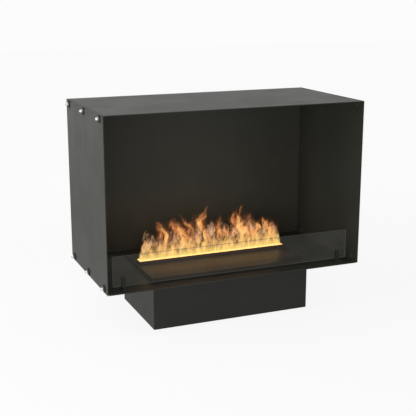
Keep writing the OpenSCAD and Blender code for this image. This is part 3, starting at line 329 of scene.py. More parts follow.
COAT = (0.0265, 0.0270, 0.0222)
# The burner cover's black satin coat, with a warm brown tone that is a painted reflection of the flames and
# the lit slot
SATIN_COAT_PAINTED_FLAME_REFLECTION = (0.0158, 0.0102, 0.0062)
# The base's coat: a darker, more neutral copy of the casing's coat, its darkness a painted shade from the
# casing over the base
BASE_COAT_PAINTED_SHADE = (0.0205, 0.0202, 0.0188)
HOLDER_RUBBER = (0.019, 0.018, 0.015)
AMBER = (0.9, 0.6, 0.25)
AMBER_LIGHT = (1.0, 0.66, 0.24)
DULL = {"roughness": 0.75, "grain": 500.0, "Specular_IOR_Level": 0.12}
slot_materials = {
    "black_sheet": powder_coat("black_coat", COAT, roughness=0.46, sheen=0.13),
    "satin_sheet_painted_flame_reflection": powder_coat("satin_coat_painted_flame_reflection", SATIN_COAT_PAINTED_FLAME_REFLECTION, roughness=0.36, sheen=0.06),
    "base_sheet_painted_shade": powder_coat("base_coat_painted_shade", BASE_COAT_PAINTED_SHADE, roughness=0.46, sheen=0.11),
    "holder_rubber": moulded("holder_rubber", HOLDER_RUBBER, **DULL),
    "stainless": polished_steel("stainless_steel", (0.53, 0.525, 0.51), roughness=0.17),
    "zinc": zinc_plate("zinc_plate", (0.56, 0.57, 0.57), roughness=0.40),
    "bare_aluminium": drawn_aluminium("bare_aluminium", (0.62, 0.63, 0.64), roughness=0.35),
    "black_rubber": moulded("black_rubber", (0.012, 0.012, 0.012), **DULL),
    "black_plastic": moulded("black_plastic", (0.018, 0.018, 0.020), roughness=0.48, grain=420.0),
    "grey_plastic": moulded("grey_plastic", (0.42, 0.43, 0.43), roughness=0.42, grain=500.0),
    "white_plastic": moulded("white_plastic", (0.72, 0.72, 0.68), roughness=0.40, grain=500.0),
    "clear_plastic": clear_tank("clear_plastic", (0.90, 0.95, 0.97), roughness=0.08),
    "amber_plastic": lit_plastic("amber_plastic", AMBER, AMBER_LIGHT, strength=1.15),
    "red_plastic": moulded("red_plastic", (0.42, 0.02, 0.015), roughness=0.28, grain=300.0, relief=0.05),
    "smoke_glass": smoked_pane("smoke_glass", (0.128, 0.128, 0.115), cover=0.08),
    "green_board": circuit_board("green_board", (0.02, 0.14, 0.05), roughness=0.32),
}
# Parts with a finer look than their slot: the cover's coat holds a painted reflection of the flames, and
# the base parts' coat a painted shade
finer_looks = {
    "burner_cover": "satin_sheet_painted_flame_reflection",
    "glass_holder_left": "holder_rubber",
    "glass_holder_right": "holder_rubber",
    "base_shell": "base_sheet_painted_shade",
    "base_rear_panel": "base_sheet_painted_shade",
    "base_bottom_plate": "base_sheet_painted_shade",
}
for part in frame["record"]["subparts"]:
    mesh = frame["nodes"][part["node"]].data
    mesh.materials.clear()
    mesh.materials.append(slot_materials[finer_looks.get(part["node"], part["material_slot"])])


# Flames of lit vapour: soft sheets over the slot, painted from tongues, lobes and threads. The tables
# and the painting are in millimetres, with heights over the slot's lip, and the rest is in metres
MM = 1000.0
slot_low, slot_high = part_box("slot_light_frame")
slot_y = (slot_low.y + slot_high.y) / 2
lip_top = slot_high.z
STEP = 0.0022
SHEET_HALF = 0.299
SHEET_TOP = 0.206

# The glowing body's height over the lip, along the slot
BODY_TOP = [
    (-299, 14), (-290, 34), (-280, 56), (-266, 88), (-248, 86), (-232, 72), (-214, 84), (-196, 88),
    (-180, 52), (-166, 74), (-150, 92), (-128, 96), (-112, 84), (-100, 62), (-86, 92), (-72, 112),
    (-52, 96), (-30, 88), (-14, 112), (0, 116), (14, 100), (24, 66), (34, 98), (50, 106), (62, 92),
    (72, 56), (86, 88), (110, 104), (136, 102), (156, 112), (172, 104), (190, 96), (204, 66),
    (220, 92), (240, 98), (258, 84), (274, 80), (286, 50), (296, 30), (299, 12),
]

# Dark pockets in the body: middle, half width, half height, depth
POCKETS = [
    (-178, 80, 11, 28, 0.95), (-99, 72, 8, 22, 0.90), (22, 92, 8, 26, 0.85), (71, 78, 7, 26, 0.90),
    (204, 98, 11, 24, 0.85), (-64, 32, 7, 13, 0.60), (-130, 34, 9, 8, 0.60), (-10, 40, 7, 15, 0.50),
    (-258, 60, 8, 8, 0.60), (-226, 92, 9, 12, 0.75), (102, 52, 6, 15, 0.50), (166, 58, 6, 20, 0.45),
    (-42, 58, 5, 16, 0.55), (46, 40, 5, 17, 0.50), (150, 44, 5, 14, 0.40), (-186, 36, 6, 12, 0.45),
    (228, 40, 5, 14, 0.40), (-272, 34, 5, 9, 0.50), (268, 40, 4, 12, 0.40), (12, 44, 4, 16, 0.45),
]

# Tongues: sheet, half width, strength, side of the bright edge, points, and paleness where they have it
TONGUES = [
    (1, 13.0, 0.92, 1, [(-206, 0), (-203, 44), (-198, 72), (-194, 91), (-206, 114), (-220, 132),
                        (-234, 148)]),
    (2, 6.0, 0.62, 1, [(-197, 56), (-188, 84), (-182, 104)]),
    (2, 6.0, 0.42, -1, [(-203, 74), (-218, 108), (-229, 134)]),
    (1, 18.0, 1.05, -1, [(-114, 0), (-116, 48), (-120, 78), (-132, 102), (-144, 124), (-151, 148)]),
    (2, 13.0, 0.50, -1, [(-134, 82), (-154, 110), (-164, 130), (-153, 146)]),
    (2, 7.5, 0.60, 1, [(-113, 66), (-99, 96), (-92, 110), (-105, 119), (-120, 130), (-128, 148),
                       (-135, 172)]),
    (2, 6.0, 0.66, 1, [(-149, 18), (-144, 56), (-129, 78)]),
    (1, 11.0, 1.12, -1, [(-31, 0), (-29, 40), (-29, 66), (-39, 91), (-51, 113), (-53, 135), (-42, 152),
                         (-28, 170), (-22, 198)]),
    (2, 8.0, 0.50, 1, [(-44, 96), (-44, 128), (-34, 152), (-26, 176)]),
    (3, 7.0, 0.24, -1, [(-58, 40), (-73, 80), (-78, 116), (-69, 168)]),
    (2, 5.0, 0.66, 1, [(-82, 10), (-78, 62), (-89, 104), (-82, 134)]),
    (2, 6.5, 0.72, -1, [(-52, 0), (-56, 44), (-67, 88)]),
    (2, 12.0, 0.70, -1, [(30, 0), (35, 60), (29, 88), (27, 112), (40, 142)]),
    (1, 11.0, 0.84, 1, [(62, 0), (57, 46), (60, 72), (70, 90), (58, 112)]),
    (1, 17.0, 1.08, -1, [(124, 0), (134, 62), (127, 90), (116, 110), (106, 131), (104, 142)]),
    (1, 8.0, 0.62, 1, [(107, 122), (108, 142), (118, 158), (122, 176)]),
    (2, 9.0, 0.56, -1, [(116, 78), (98, 106), (87, 124), (91, 140), (110, 154)]),
    (2, 7.0, 0.60, 1, [(82, 20), (85, 58), (98, 90)]),
    (2, 10.0, 0.46, 1, [(138, 60), (150, 92), (160, 108), (158, 126)]),
    (1, 14.5, 0.98, 1, [(185, 0), (186, 58), (193, 80), (178, 96), (166, 112)]),
    (3, 7.0, 0.26, 1, [(170, 90), (163, 118), (172, 144)]),
    (1, 14.0, 0.88, -1, [(250, 0), (251, 54), (236, 84), (222, 104), (215, 130)]),
    (2, 6.0, 0.74, 1, [(253, 50), (244, 82), (237, 108)]),
    (2, 7.0, 0.46, 1, [(276, 0), (266, 48), (274, 82)]),
    (2, 4.5, 0.90, -1, [(292, 0), (292, 20), (291, 40)]),
    (2, 5.0, 0.62, -1, [(-291, 0), (-289, 30), (-281, 58), (-266, 74), (-250, 62)], 0.5),
    (2, 4.5, 0.24, -1, [(-277, 60), (-276, 96), (-266, 120)], 0.8),
    (1, 6.5, 0.70, 1, [(-246, 0), (-249, 34), (-238, 62), (-228, 70)]),
    (1, 7.0, 0.72, -1, [(-168, 0), (-164, 40), (-156, 66)]),
    (1, 6.5, 0.62, 1, [(2, 0), (6, 36), (0, 62)]),
    (1, 6.5, 0.70, -1, [(98, 0), (100, 30), (108, 56)]),
    (1, 6.5, 0.64, 1, [(156, 0), (154, 34), (146, 62)]),
    (1, 6.0, 0.70, -1, [(220, 0), (222, 36), (230, 64)]),
]

# Lobes, pale and see-through: sheet, middle, half width and height, strength
LOBES = [
    (2, -260, 72, 19, 27, 0.50), (3, -240, 50, 18, 40, 0.60), (2, -264, 38, 15, 24, 0.70),
    (3, -168, 56, 18, 42, 0.70), (2, -148, 62, 17, 40, 0.65), (3, -92, 80, 16, 46, 0.60),
    (2, -68, 78, 17, 52, 0.80), (3, -34, 60, 20, 46, 0.55), (2, -2, 78, 19, 48, 1.00),
    (3, 44, 72, 22, 50, 0.60), (2, 92, 56, 17, 44, 0.80), (3, 126, 72, 26, 50, 0.60),
    (2, 160, 74, 20, 54, 0.85), (3, 198, 56, 20, 42, 0.70), (2, 226, 60, 17, 42, 0.80),
    (2, 258, 52, 17, 42, 0.85), (3, 274, 42, 14, 34, 0.70),
]

# Sheets: number, place in Y from the slot's middle, seed, strength of the body
SHEETS = (
    (1, -0.0056, 11, 0.30),
    (2, 0.0004, 23, 0.62),
    (3, 0.0060, 37, 0.80),
)

# Colours of the glow, from the cool tips to the lip
GLOW_RAMP = (
    (0.00, (0.260, 0.090, 0.035)),
    (0.25, (0.530, 0.170, 0.060)),
    (0.50, (0.830, 0.335, 0.103)),
    (0.75, (0.950, 0.490, 0.155)),
    (1.00, (1.050, 0.660, 0.225)),
)
MAUVE = np.array((0.290, 0.150, 0.104))
BLUSH = np.array((0.700, 0.410, 0.212))
TAN = np.array((0.690, 0.400, 0.200))
GOLD = np.array((1.060, 0.710, 0.222))
PALE_TAN = TAN * 1.15
LIP_YELLOW = np.array((1.200, 0.800, 0.200))
LIP_WHITE = np.array((1.250, 0.930, 0.360))
RIB_TINT = np.array((0.5, 1.0, 1.5))

# Noises: size across, size up, seed
NOISES = {
    "wide_sway": (30, 34, 1),
    "fine_sway": (10, 17, 2),
    "lift": (18, 22, 3),
    "streak": (5.2, 26, 4),
    "broad": (11, 38, 5),
    "ragged": (15, 19, 6),
    "rib": (2.6, 40, 7),
    "fine_band": (8, 500, 8),
    "wide_band": (28, 500, 9),
    "wave": (55, 70, 11),
    "holes": (13, 26, 12),
    "lobe_sway": (24, 22, 13),
    "lobe_rim": (15, 18, 14),
    "wide_veins": (17, 30, 15),
    "fine_veins": (9, 22, 16),
    "fine_flicker": (7, 22, 17),
    "wide_flicker": (17, 32, 18),
}
NOISE_GAIN = 1.9
NOISE_LIMIT = 1.1
SEED_STEP = 5
SEED_SPACING = 3.7

# Heights between which an effect sets in or fades
SWAY_RISE = (6, 70)
HOLE_RISE = (22, 45)
BODY_WARMTH = (18, 78)
LOBE_WARMTH = (20, 75)
LOBE_RISE = (14, 52)
TONGUE_HEAT = (12, 84)
TONGUE_GOLD = (16, 66)
HALO_RISE = (5, 40)
LIP_HEAT = (0, 8)
VEIN_RISE = (20, 48)
FLICKER_RISE = (6, 30)
HOLD_RISE = (16, 34)
END_LEAN_RISE = (20, 60)

# Bands of height that are dimmer, brighter or livelier than the rest: set in, fade
DIM_BAND = ((10, 26), (44, 66))
BRIGHT_BAND = ((52, 68), (78, 98))
LIVELY_BAND = ((40, 80), (95, 125))

# Sway of the vapour
WIDE_SWAY = 3.6
FINE_SWAY = 2.4
LIFT = 4.0

# Textures: an even level, and what the streaks, the broad noise and the veins add to it
BODY_TEXTURE = (0.74, 0.24, 0.22, 0.0)
BODY_THICKNESS = (0.85, 0.0, 0.30, 0.0)
BODY_PALENESS = (0.30, 1.1, 0.0, 0.0)
LOBE_THICKNESS = (0.85, 0.0, 0.40, 0.0)
TONGUE_TEXTURE = (0.88, 0.30, 0.20, 0.35)

# Body: how uneven its top is, where it shades and ends as shares of its height, how sharp the pockets
# are, what part of the noise opens holes and how deep, and how its foot is covered and coloured
TOP_UNEVEN = 0.10
BODY_SHADE = (0.45, 0.95)
BODY_EDGE = (0.55, 1.08)
POCKET_POWER = 1.5
HOLE_NOISE = (0.10, 0.50)
HOLE_DEPTH = 0.78
FOOT_COVER = 0.92
FOOT_BLUSH = 0.5
FOOT_EVEN = 0.4

# Veins: how thin they are, what the fine ones weigh, how light they are, and where they show
VEIN_THINNESS = 2.4
FINE_VEINS = 0.8
VEIN_LIGHT = 1.15
VEIN_SHADE = 0.3
VEIN_COVER = 0.72
VEIN_STRAY = 0.35
VEIN_EDGE = (0.70, 1.05)

# Lobes: lean and sway, where they end and where their rim lies as shares of their size, how broken
# the rim is, and what turns their colour
LOBE_LEAN = 4.0
LOBE_BEND = 26
LOBE_SWAY = 5.0
LOBE_NARROWING = 0.30
LOBE_EDGE = (0.50, 1.14)
LOBE_COVER = 0.42
RIM_PLACE = 0.84
RIM_WIDTH = 0.15
RIM_LEVEL = 0.45
RIM_UNEVEN = 1.1
RIM_LIMIT = 1.2
RIM_BLUSH = 0.70
STREAK_BLUSH = 0.45
LOBE_TAN = 0.55

# Shape of a tongue: steps along it, least half width, how far up the foot of a broad or slim one
# spreads, and its taper, belly and raggedness as shares of the half width
PATH_STEPS = 72
TONGUE_LEAST = 0.6
BROAD_TONGUE = 8
BROAD_FOOT = 40
SLIM_FOOT = 24
FOOT_SPREAD = 0.7
TAPER_POWER = 2.4
STEM_WIDTH = 0.95
BELLY_WIDTH = 0.42
RAGGEDNESS = 0.30

# Light of a tongue: its core and bright edge, as shares of the half width, their heat, and how it
# dims and fades along its length
TONGUE_CORE = 0.86
CORE_POWER = 2.8
CORE_HEAT = 0.64
TONGUE_EDGE = 0.36
TONGUE_EDGE_WIDTH = 0.30
EDGE_HEAT = 0.46
FOOT_HEAT = 0.22
FOOT_GOLD = 0.55
TIP_DIMMING = 0.48
TIP_FADING = 0.88
TONGUE_FADE = (0.42, 1.0)
TONGUE_COVER = 0.95
LEAST_SOLID = 0.30
PALE_LEVEL = 0.6
PALE_GAIN = 0.7

# Halo of a tongue, from a half width on
HALO_TONGUE = 4
HALO_WIDTH = 1.9
HALO_HEAT = 0.42
HALO_COVER = 0.20
HALO_FADING = 0.6

# Band at the lip: its height, where it ends as shares of that, and how its ribs show
BAND_TALL = 13
BAND_FINE = 5
BAND_WIDE = 3
BAND_EDGE = (0.55, 1.60)
BAND_LEVEL = 0.92
BAND_COVER = 0.94
BAND_WHITE = 0.75
RIB_LIGHT = 0.17
RIB_COVER = 0.16

# Flicker: what makes it up, how strong it is, how the level under it changes with height, and how
# firmly bright spots are held
FINE_FLICKER = 0.5
WIDE_FLICKER = 0.8
VEIN_MIDDLE = 0.30
FLICKER_LEAST = 0.14
FLICKER_GROWTH = 0.52
FLICKER_LIVELY = 0.30
PLAIN_LEVEL = 0.97
DIMMING = 0.12
BRIGHTENING = 0.09
HOLD_POWER = 6

# Blur: what a point keeps, and what it takes from each neighbour
KEPT = 0.64
SHARED = 0.18

# Seeded threads and licks: number, reach along the slot, foot, top, bends, half width and paleness.
# A thread's top is a share of the body's, and a lick's is a height. A bend is a share of the sway
# and of the top
THREADS = 20
THREAD_REACH = 286
THREAD_FOOT = 4
THREAD_TOP = (0.55, 1.02)
THREAD_BENDS = ((1.0, 0.4), (0.7, 0.75), (1.0, 1.0))
THREAD_HALF = (1.8, 3.4)
THREAD_PALE = (0.2, 0.9)
LICKS = 10
LICK_REACH = 280
LICK_FOOT = 0
LICK_TOP = (34, 74)
LICK_BENDS = ((1.0, 0.5), (1.0, 1.0))
LICK_HALF = (3.6, 6.4)
LICK_PALE = (0.0, 0.35)
LOOSE_SWAY = 9
LOOSE_STRENGTH = (0.55, 0.95)

# Ends of the slot, where the glow stops
SLOT_END = 294.0
END_SOFT = (-3, 4)
END_LEAN = 0.10

# Least cover that is kept, least one to divide by, and the sheets' wave in metres: at the lip, and
# what the top adds. GATHERING is how much nearer the sheets are at the top
LEAST_COVER = 0.015
TINY_COVER = 1e-4
LIP_WAVE = 0.001
TOP_WAVE = 0.010
GATHERING = 0.35


def smooth_path(points):
    """Even steps along a smooth curve through the points."""
    pts = np.array([points[0], *points, points[-1]], float)
    spans = len(pts) - 3
    path = []
    for i in range(1, len(pts) - 2):
        a, b, c, d = pts[i - 1:i + 3]
        for t in np.linspace(0, 1, PATH_STEPS // spans, endpoint=False):
            path.append(0.5 * (2 * b + (c - a) * t + (2 * a - 5 * b + 4 * c - d) * t * t
                               + (3 * b - a - 3 * c + d) * t ** 3))
    path.append(pts[-1])
    return np.array(path)


def soft_noise(x, z, across, up, seed):
    """Smooth noise over the grid, from about -1 to 1."""
    flat = np.empty(x.size)
    for i, (u, v) in enumerate(zip(x.ravel(), z.ravel())):
        flat[i] = noise.noise(Vector((u / across, v / up, seed * SEED_SPACING)))
    return (NOISE_GAIN * flat).clip(-NOISE_LIMIT, NOISE_LIMIT).reshape(x.shape)


def ease(value, low, high):
    """0 up to low, 1 from high on, and smooth between."""
    t = ((value - low) / (high - low)).clip(0, 1)
    return t * t * (3 - 2 * t)


def bulge(value, rise, fall):
    """From 0 to 1 over the first stretch, and back to 0 over the second."""
    return ease(value, *rise) * (1 - ease(value, *fall))


def blend(first, second, share):
    """From the first colour toward the second, by a share at each point."""
    return first + (second - first) * share[..., None]


def ramp(heat):
    """The glow's colour at each heat from 0 to 1."""
    stops, colours = zip(*GLOW_RAMP)
    return np.stack([np.interp(heat, stops, channel) for channel in zip(*colours)], -1)


def body_top(along):
    """The body's height at places along the slot."""
    return np.interp(along, *zip(*BODY_TOP))


class Sheet:
    """One sheet of glow on a grid across the slot and up from its lip, painted from back to front.

    x and z are places on the grid, and u and v the same places swayed as the vapour is."""

    def __init__(self, seed):
        across = np.arange(-SHEET_HALF, SHEET_HALF + STEP / 2, STEP) * MM
        up = np.arange(0.0, SHEET_TOP + STEP / 2, STEP) * MM
        self.x, self.z = np.meshgrid(across, up)
        self.seed = seed
        sway = ease(self.z, *SWAY_RISE)
        self.u = self.x + sway * (WIDE_SWAY * self.noise("wide_sway") + FINE_SWAY * self.noise("fine_sway"))
        self.v = self.z + sway * LIFT * self.noise("lift")
        self.streak = self.noise("streak", bent=True)
        self.broad = self.noise("broad", bent=True)
        self.ragged = self.noise("ragged")
        self.veins = np.maximum(self.vein("wide_veins"), FINE_VEINS * self.vein("fine_veins"))
        self.light = np.zeros(self.x.shape + (3,))
        self.cover = np.zeros(self.x.shape + (1,))

    def noise(self, name, bent=False):
        """One of the noises, over the plain grid or, where bent, over the swayed one."""
        across, up, seed = NOISES[name]
        x, z = (self.u, self.v) if bent else (self.x, self.z)
        return soft_noise(x, z, across, up, self.seed + seed * SEED_STEP)

    def vein(self, name):
        """Thin bright lines that wind upward and join, from 0 to 1."""
        return (1 - VEIN_THINNESS * np.abs(self.noise(name, bent=True))).clip(0, 1) ** 2

    def texture(self, level, streak, broad, veins):
        """An even level with shares of the sheet's own noises added."""
        return level + streak * self.streak + broad * self.broad + veins * self.veins

    def over(self, colour, cover):
        """Paint a colour over what is there."""
        cover = cover.clip(0, 1)[..., None]
        self.light = colour * cover + self.light * (1 - cover)
        self.cover = cover + self.cover * (1 - cover)

    def body(self, strength):
        """The glowing mass under BODY_TOP: gold at the lip, mauve on top, with pockets, holes and veins."""
        rise = self.v / (body_top(self.u) * (1 + TOP_UNEVEN * self.broad))
        filled = np.ones_like(self.x)
        for cx, cz, half_w, half_h, depth in POCKETS:
            reach = ((self.u - cx) / half_w) ** 2 + ((self.v - cz) / half_h) ** 2
            filled *= 1 - depth * np.exp(-reach ** POCKET_POWER)
        holes = ease(self.noise("holes"), *HOLE_NOISE) * ease(self.v, *HOLE_RISE)
        filled *= 1 - HOLE_DEPTH * holes
        filled *= 1 - ease(rise, *BODY_EDGE)

        shade = ease(rise, *BODY_SHADE)
        warm = 1 - ease(self.v, *BODY_WARMTH)
        pale = self.texture(*BODY_PALENESS).clip(0, 1)
        blush = BLUSH * (1 + FOOT_BLUSH * warm[..., None])
        colour = blend(blend(TAN, MAUVE, shade), GOLD, warm)
        colour = blend(colour, blush, pale * (1 - FOOT_EVEN * warm))
        colour *= self.texture(*BODY_TEXTURE)[..., None]
        thick = strength + (FOOT_COVER - strength) * warm
        self.over(colour, thick * filled * self.texture(*BODY_THICKNESS))

        line = BLUSH * (VEIN_LIGHT - VEIN_SHADE * shade[..., None]) + (GOLD - BLUSH) * warm[..., None]
        left = VEIN_STRAY + (1 - VEIN_STRAY) * filled
        self.over(line, VEIN_COVER * self.veins * left * (1 - ease(rise, *VEIN_EDGE)))

    def lobe(self, cx, cz, half_w, half_h, strength):
        """A pale see-through lobe with a broken, brighter rim."""
        high = (self.v - cz) / half_h
        lean = LOBE_LEAN * np.sin((self.v - cz) / LOBE_BEND + cx) - LOBE_SWAY * self.noise("lobe_sway")
        wide = half_w * (1 - LOBE_NARROWING * high.clip(0, 1) ** 2)
        reach = np.hypot((self.u - cx - lean) / wide, high)
        inside = 1 - ease(reach, *LOBE_EDGE)
        broken = (RIM_LEVEL + RIM_UNEVEN * self.noise("lobe_rim")).clip(0, RIM_LIMIT)
        rim = np.exp(-((reach - RIM_PLACE) / RIM_WIDTH) ** 2) * broken
        warm = 1 - ease(self.v, *LOBE_WARMTH)
        colour = blend(MAUVE, BLUSH, RIM_BLUSH * rim + STREAK_BLUSH * self.streak.clip(0, 1))
        colour = blend(colour, PALE_TAN, LOBE_TAN * warm)
        cover = LOBE_COVER * (inside + rim) * self.texture(*LOBE_THICKNESS)
        self.over(colour, strength * cover * ease(self.v, *LOBE_RISE))

    def follow(self, path):
        """Each point's signed distance from the path, and its place along it from 0 to 1."""
        ahead = np.gradient(path, axis=0)
        ahead /= np.linalg.norm(ahead, axis=1)[:, None]
        near = np.full(self.x.shape, np.inf)
        across = np.zeros_like(near)
        along = np.zeros_like(near)
        for i, (px, pz) in enumerate(path):
            du = self.u - px
            dv = self.v - pz
            far = np.hypot(du, dv)
            closer = far < near
            near[closer] = far[closer]
            across[closer] = (far * np.sign(du * ahead[i, 1] - dv * ahead[i, 0]))[closer]
            along[closer] = i / (len(path) - 1)
        return across, along

    def tongue(self, half, strength, side, points, pale=0.0):
        """A tongue along a curve: wide at its foot, bright along one side, and fading to its tip."""
        across, along = self.follow(smooth_path(points))
        foot_tall = BROAD_FOOT if half > BROAD_TONGUE else SLIM_FOOT
        foot = np.exp(-(self.v.clip(0, None) / foot_tall) ** 2)
        taper = (1 - along ** TAPER_POWER) * (STEM_WIDTH + BELLY_WIDTH * np.sin(np.pi * along))
        wide = half * taper * (1 + FOOT_SPREAD * foot)
        wide = (wide + TONGUE_LEAST) * (1 + RAGGEDNESS * self.ragged)
        gap = across / wide
        inside = np.exp(-np.abs(gap / TONGUE_CORE) ** CORE_POWER)
        edge = np.exp(-((gap - TONGUE_EDGE * side) / TONGUE_EDGE_WIDTH) ** 2)
        level = strength * (1 - TIP_DIMMING * along) * self.texture(*TONGUE_TEXTURE)
        heat = level * (CORE_HEAT * inside + EDGE_HEAT * edge)
        heat += FOOT_HEAT * (1 - ease(self.v, *TONGUE_HEAT))
        fade = (1 - TIP_FADING * ease(along, *TONGUE_FADE)) * min(1.0, LEAST_SOLID + strength)
        colour = blend(ramp(heat), GOLD, FOOT_GOLD * (1 - ease(self.v, *TONGUE_GOLD)))
        blush = BLUSH * (PALE_LEVEL + PALE_GAIN * heat[..., None])
        colour = blend(colour, blush, np.full_like(heat, pale))
        if half > HALO_TONGUE:
            halo = np.exp(-(gap / HALO_WIDTH) ** 2) * ease(self.v, *HALO_RISE)
            self.over(ramp(HALO_HEAT * level), HALO_COVER * strength * halo * (1 - HALO_FADING * along))
        self.over(colour, fade * inside * TONGUE_COVER)

    def loose(self, draw, at, foot, top, bends, half, pale):
        """A seeded tongue that sways on its way up."""
        sway = draw.uniform(-LOOSE_SWAY, LOOSE_SWAY, len(bends))
        points = [(at, foot)]
        points += [(at + reach * share, top * high) for reach, (share, high) in zip(sway, bends)]
        self.tongue(draw.uniform(*half), draw.uniform(*LOOSE_STRENGTH), draw.choice((-1, 1)), points,
                    pale=draw.uniform(*pale))

    def threads(self, draw):
        """Thin threads that fill the glow between the tongues."""
        for _ in range(THREADS):
            at = draw.uniform(-THREAD_REACH, THREAD_REACH)
            top = body_top(at) * draw.uniform(*THREAD_TOP)
            self.loose(draw, at, THREAD_FOOT, top, THREAD_BENDS, THREAD_HALF, THREAD_PALE)

    def licks(self, draw):
        """Short, broader tongues low in the glow."""
        for _ in range(LICKS):
            at = draw.uniform(-LICK_REACH, LICK_REACH)
            top = min(draw.uniform(*LICK_TOP), body_top(at))
            self.loose(draw, at, LICK_FOOT, top, LICK_BENDS, LICK_HALF, LICK_PALE)

    def soften(self):
        """A slight blur, so no edge is harder than vapour's."""
        for field in (self.light, self.cover):
            for axis in (0, 1):
                edge = [(1, 1) if i == axis else (0, 0) for i in range(3)]
                wide = np.pad(field, edge, mode="edge")
                length = field.shape[axis]
                before, after = (np.take(wide, range(k, k + length), axis) for k in (0, 2))
                field[...] = KEPT * field + SHARED * (before + after)

    def band(self):
        """The bright band at the lip, finely ribbed."""
        rib = self.noise("rib")
        tall = BAND_TALL + BAND_FINE * self.noise("fine_band") + BAND_WIDE * self.noise("wide_band")
        cover = 1 - ease(self.z / tall, *BAND_EDGE)
        colour = LIP_YELLOW * (BAND_LEVEL + RIB_LIGHT * rib[..., None] * RIB_TINT)
        colour = blend(colour, LIP_WHITE, BAND_WHITE * (1 - ease(self.z, *LIP_HEAT)))
        self.over(colour, cover * (BAND_COVER + RIB_COVER * rib))

    def flicker(self):
        """Uneven brightness that grows with height. Over the band, bright spots are held under 1."""
        uneven = FINE_FLICKER * self.noise("fine_flicker", bent=True)
        uneven += WIDE_FLICKER * self.noise("wide_flicker", bent=True)
        uneven += (self.veins - VEIN_MIDDLE) * ease(self.z, *VEIN_RISE)
        gain = FLICKER_LEAST + FLICKER_GROWTH * ease(self.z, *FLICKER_RISE)
        gain += FLICKER_LIVELY * bulge(self.z, *LIVELY_BAND)
        level = PLAIN_LEVEL - DIMMING * bulge(self.z, *DIM_BAND) + BRIGHTENING * bulge(self.z, *BRIGHT_BAND)
        self.light *= (level + gain * uneven)[..., None]
        peak = self.light.max(axis=-1).clip(0, None)
        held = (1 + peak ** HOLD_POWER) ** (-1 / HOLD_POWER)
        self.light *= (1 + (held - 1) * ease(self.z, *HOLD_RISE))[..., None]

    def ends(self):
        """How much is left near the slot's two ends."""
        reach = np.abs(self.x) + END_LEAN * self.z * ease(self.z, *END_LEAN_RISE) - SLOT_END
        return 1 - ease(reach, *END_SOFT)


def painted_sheet(number, seed, body_strength):
    """A sheet's glow, from the body at the back to the band at the lip."""
    sheet = Sheet(seed)
    sheet.body(body_strength)
    for at, *lobe in LOBES:
        if at == number:
            sheet.lobe(*lobe)
    draw = np.random.default_rng(seed)
    sheet.threads(draw)
    sheet.licks(draw)
    for at, *tongue in TONGUES:
        if at == number:
            sheet.tongue(*tongue)
    sheet.soften()
    sheet.band()
    sheet.flicker()
    return sheet


def flame_sheet(number, offset, seed, body_strength):
    """One gently waving sheet over the slot, kept only where vapour glows."""
    sheet = painted_sheet(number, seed, body_strength)
    cover = sheet.cover[..., 0] * sheet.ends()
    cover[cover < LEAST_COVER] = 0
    colour = sheet.light / sheet.cover.clip(TINY_COVER, None)
    rise = sheet.z / (SHEET_TOP * MM)
    wave = sheet.noise("wave") * (LIP_WAVE + TOP_WAVE * rise)
    y = slot_y + offset * (1 - GATHERING * rise) + wave
    index = -np.ones(cover.shape, int)
    faces = []
    verts = []
    shades = []

    def vertex(i, j):
        if index[i, j] < 0:
            index[i, j] = len(verts)
            verts.append((sheet.x[i, j] / MM, y[i, j], lip_top + sheet.z[i, j] / MM))
            shades.append((*colour[i, j], cover[i, j]))
        return int(index[i, j])

    for i in range(cover.shape[0] - 1):
        for j in range(cover.shape[1] - 1):
            if cover[i:i + 2, j:j + 2].any():
                faces.append((vertex(i, j), vertex(i, j + 1), vertex(i + 1, j + 1), vertex(i + 1, j)))
    mesh = bpy.data.meshes.new(f"flame_sheet_{number}")
    mesh.from_pydata(verts, [], faces)
    shade = mesh.attributes.new("glow", "FLOAT_COLOR", "POINT")
    shade.data.foreach_set("color", np.array(shades, np.float32).ravel())
    for polygon in mesh.polygons:
        polygon.use_smooth = True
    mesh.materials.append(flame_material)
    piece = bpy.data.objects.new(f"flame_sheet_{number}", mesh)
    scene.collection.objects.link(piece)
    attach(piece, "cover")


def lit_vapour():
    """Glowing vapour: colour and cover come from each sheet, and fine streaks from noise."""
    dim_streak = (0.91, 0.89, 0.86)
    bright_streak = (1.06, 1.055, 1.05)
    streak_reach = (0.35, 0.68)
    thin_cover = 0.93
    made = Material("lit_vapour", BLACK, roughness=1.0, Specular_IOR_Level=0.0)
    glow = made.node("ShaderNodeAttribute", attribute_name="glow")
    streak = made.noise(scale=170.0, stretch=(1.0, 1.0, 0.14), distortion=0.4)
    fine = made.mix(made.span(streak, *streak_reach), dim_streak, bright_streak)
    made.feed(made.mix(1.0, glow.outputs["Color"], fine, "MULTIPLY"), "Emission Color")
    made.feed(1.0, "Emission Strength")
    thinned = made.span(streak, *SPREAD, thin_cover, 1.0)
    made.feed(made.math("MULTIPLY", glow.outputs["Alpha"], thinned), "Alpha")
    return made.mat


flame_material = lit_vapour()
for sheet_values in SHEETS:
    flame_sheet(*sheet_values)


# Stage: a pale floor under a white surround. What the camera and the reflections see of them is
# near white, and what lights the object is a plain, even level
WHITE = (1.0, 1.0, 1.0, 1.0)
SEEN_WHITE = 0.97
SURROUND_LIGHT = 0.46
FLOOR_HALF = 14.0
FLOOR_DROP = 0.0005
FLOOR_COLOUR = (0.80, 0.80, 0.80)
FLOOR_ROUGHNESS = 0.9
FLOOR_GLOW_NEAR = 0.890
FLOOR_GLOW_FAR = 0.960
FLOOR_SHADE = 0.090
SHADE_NEAR = 1.0
SHADE_FAR = 3.0


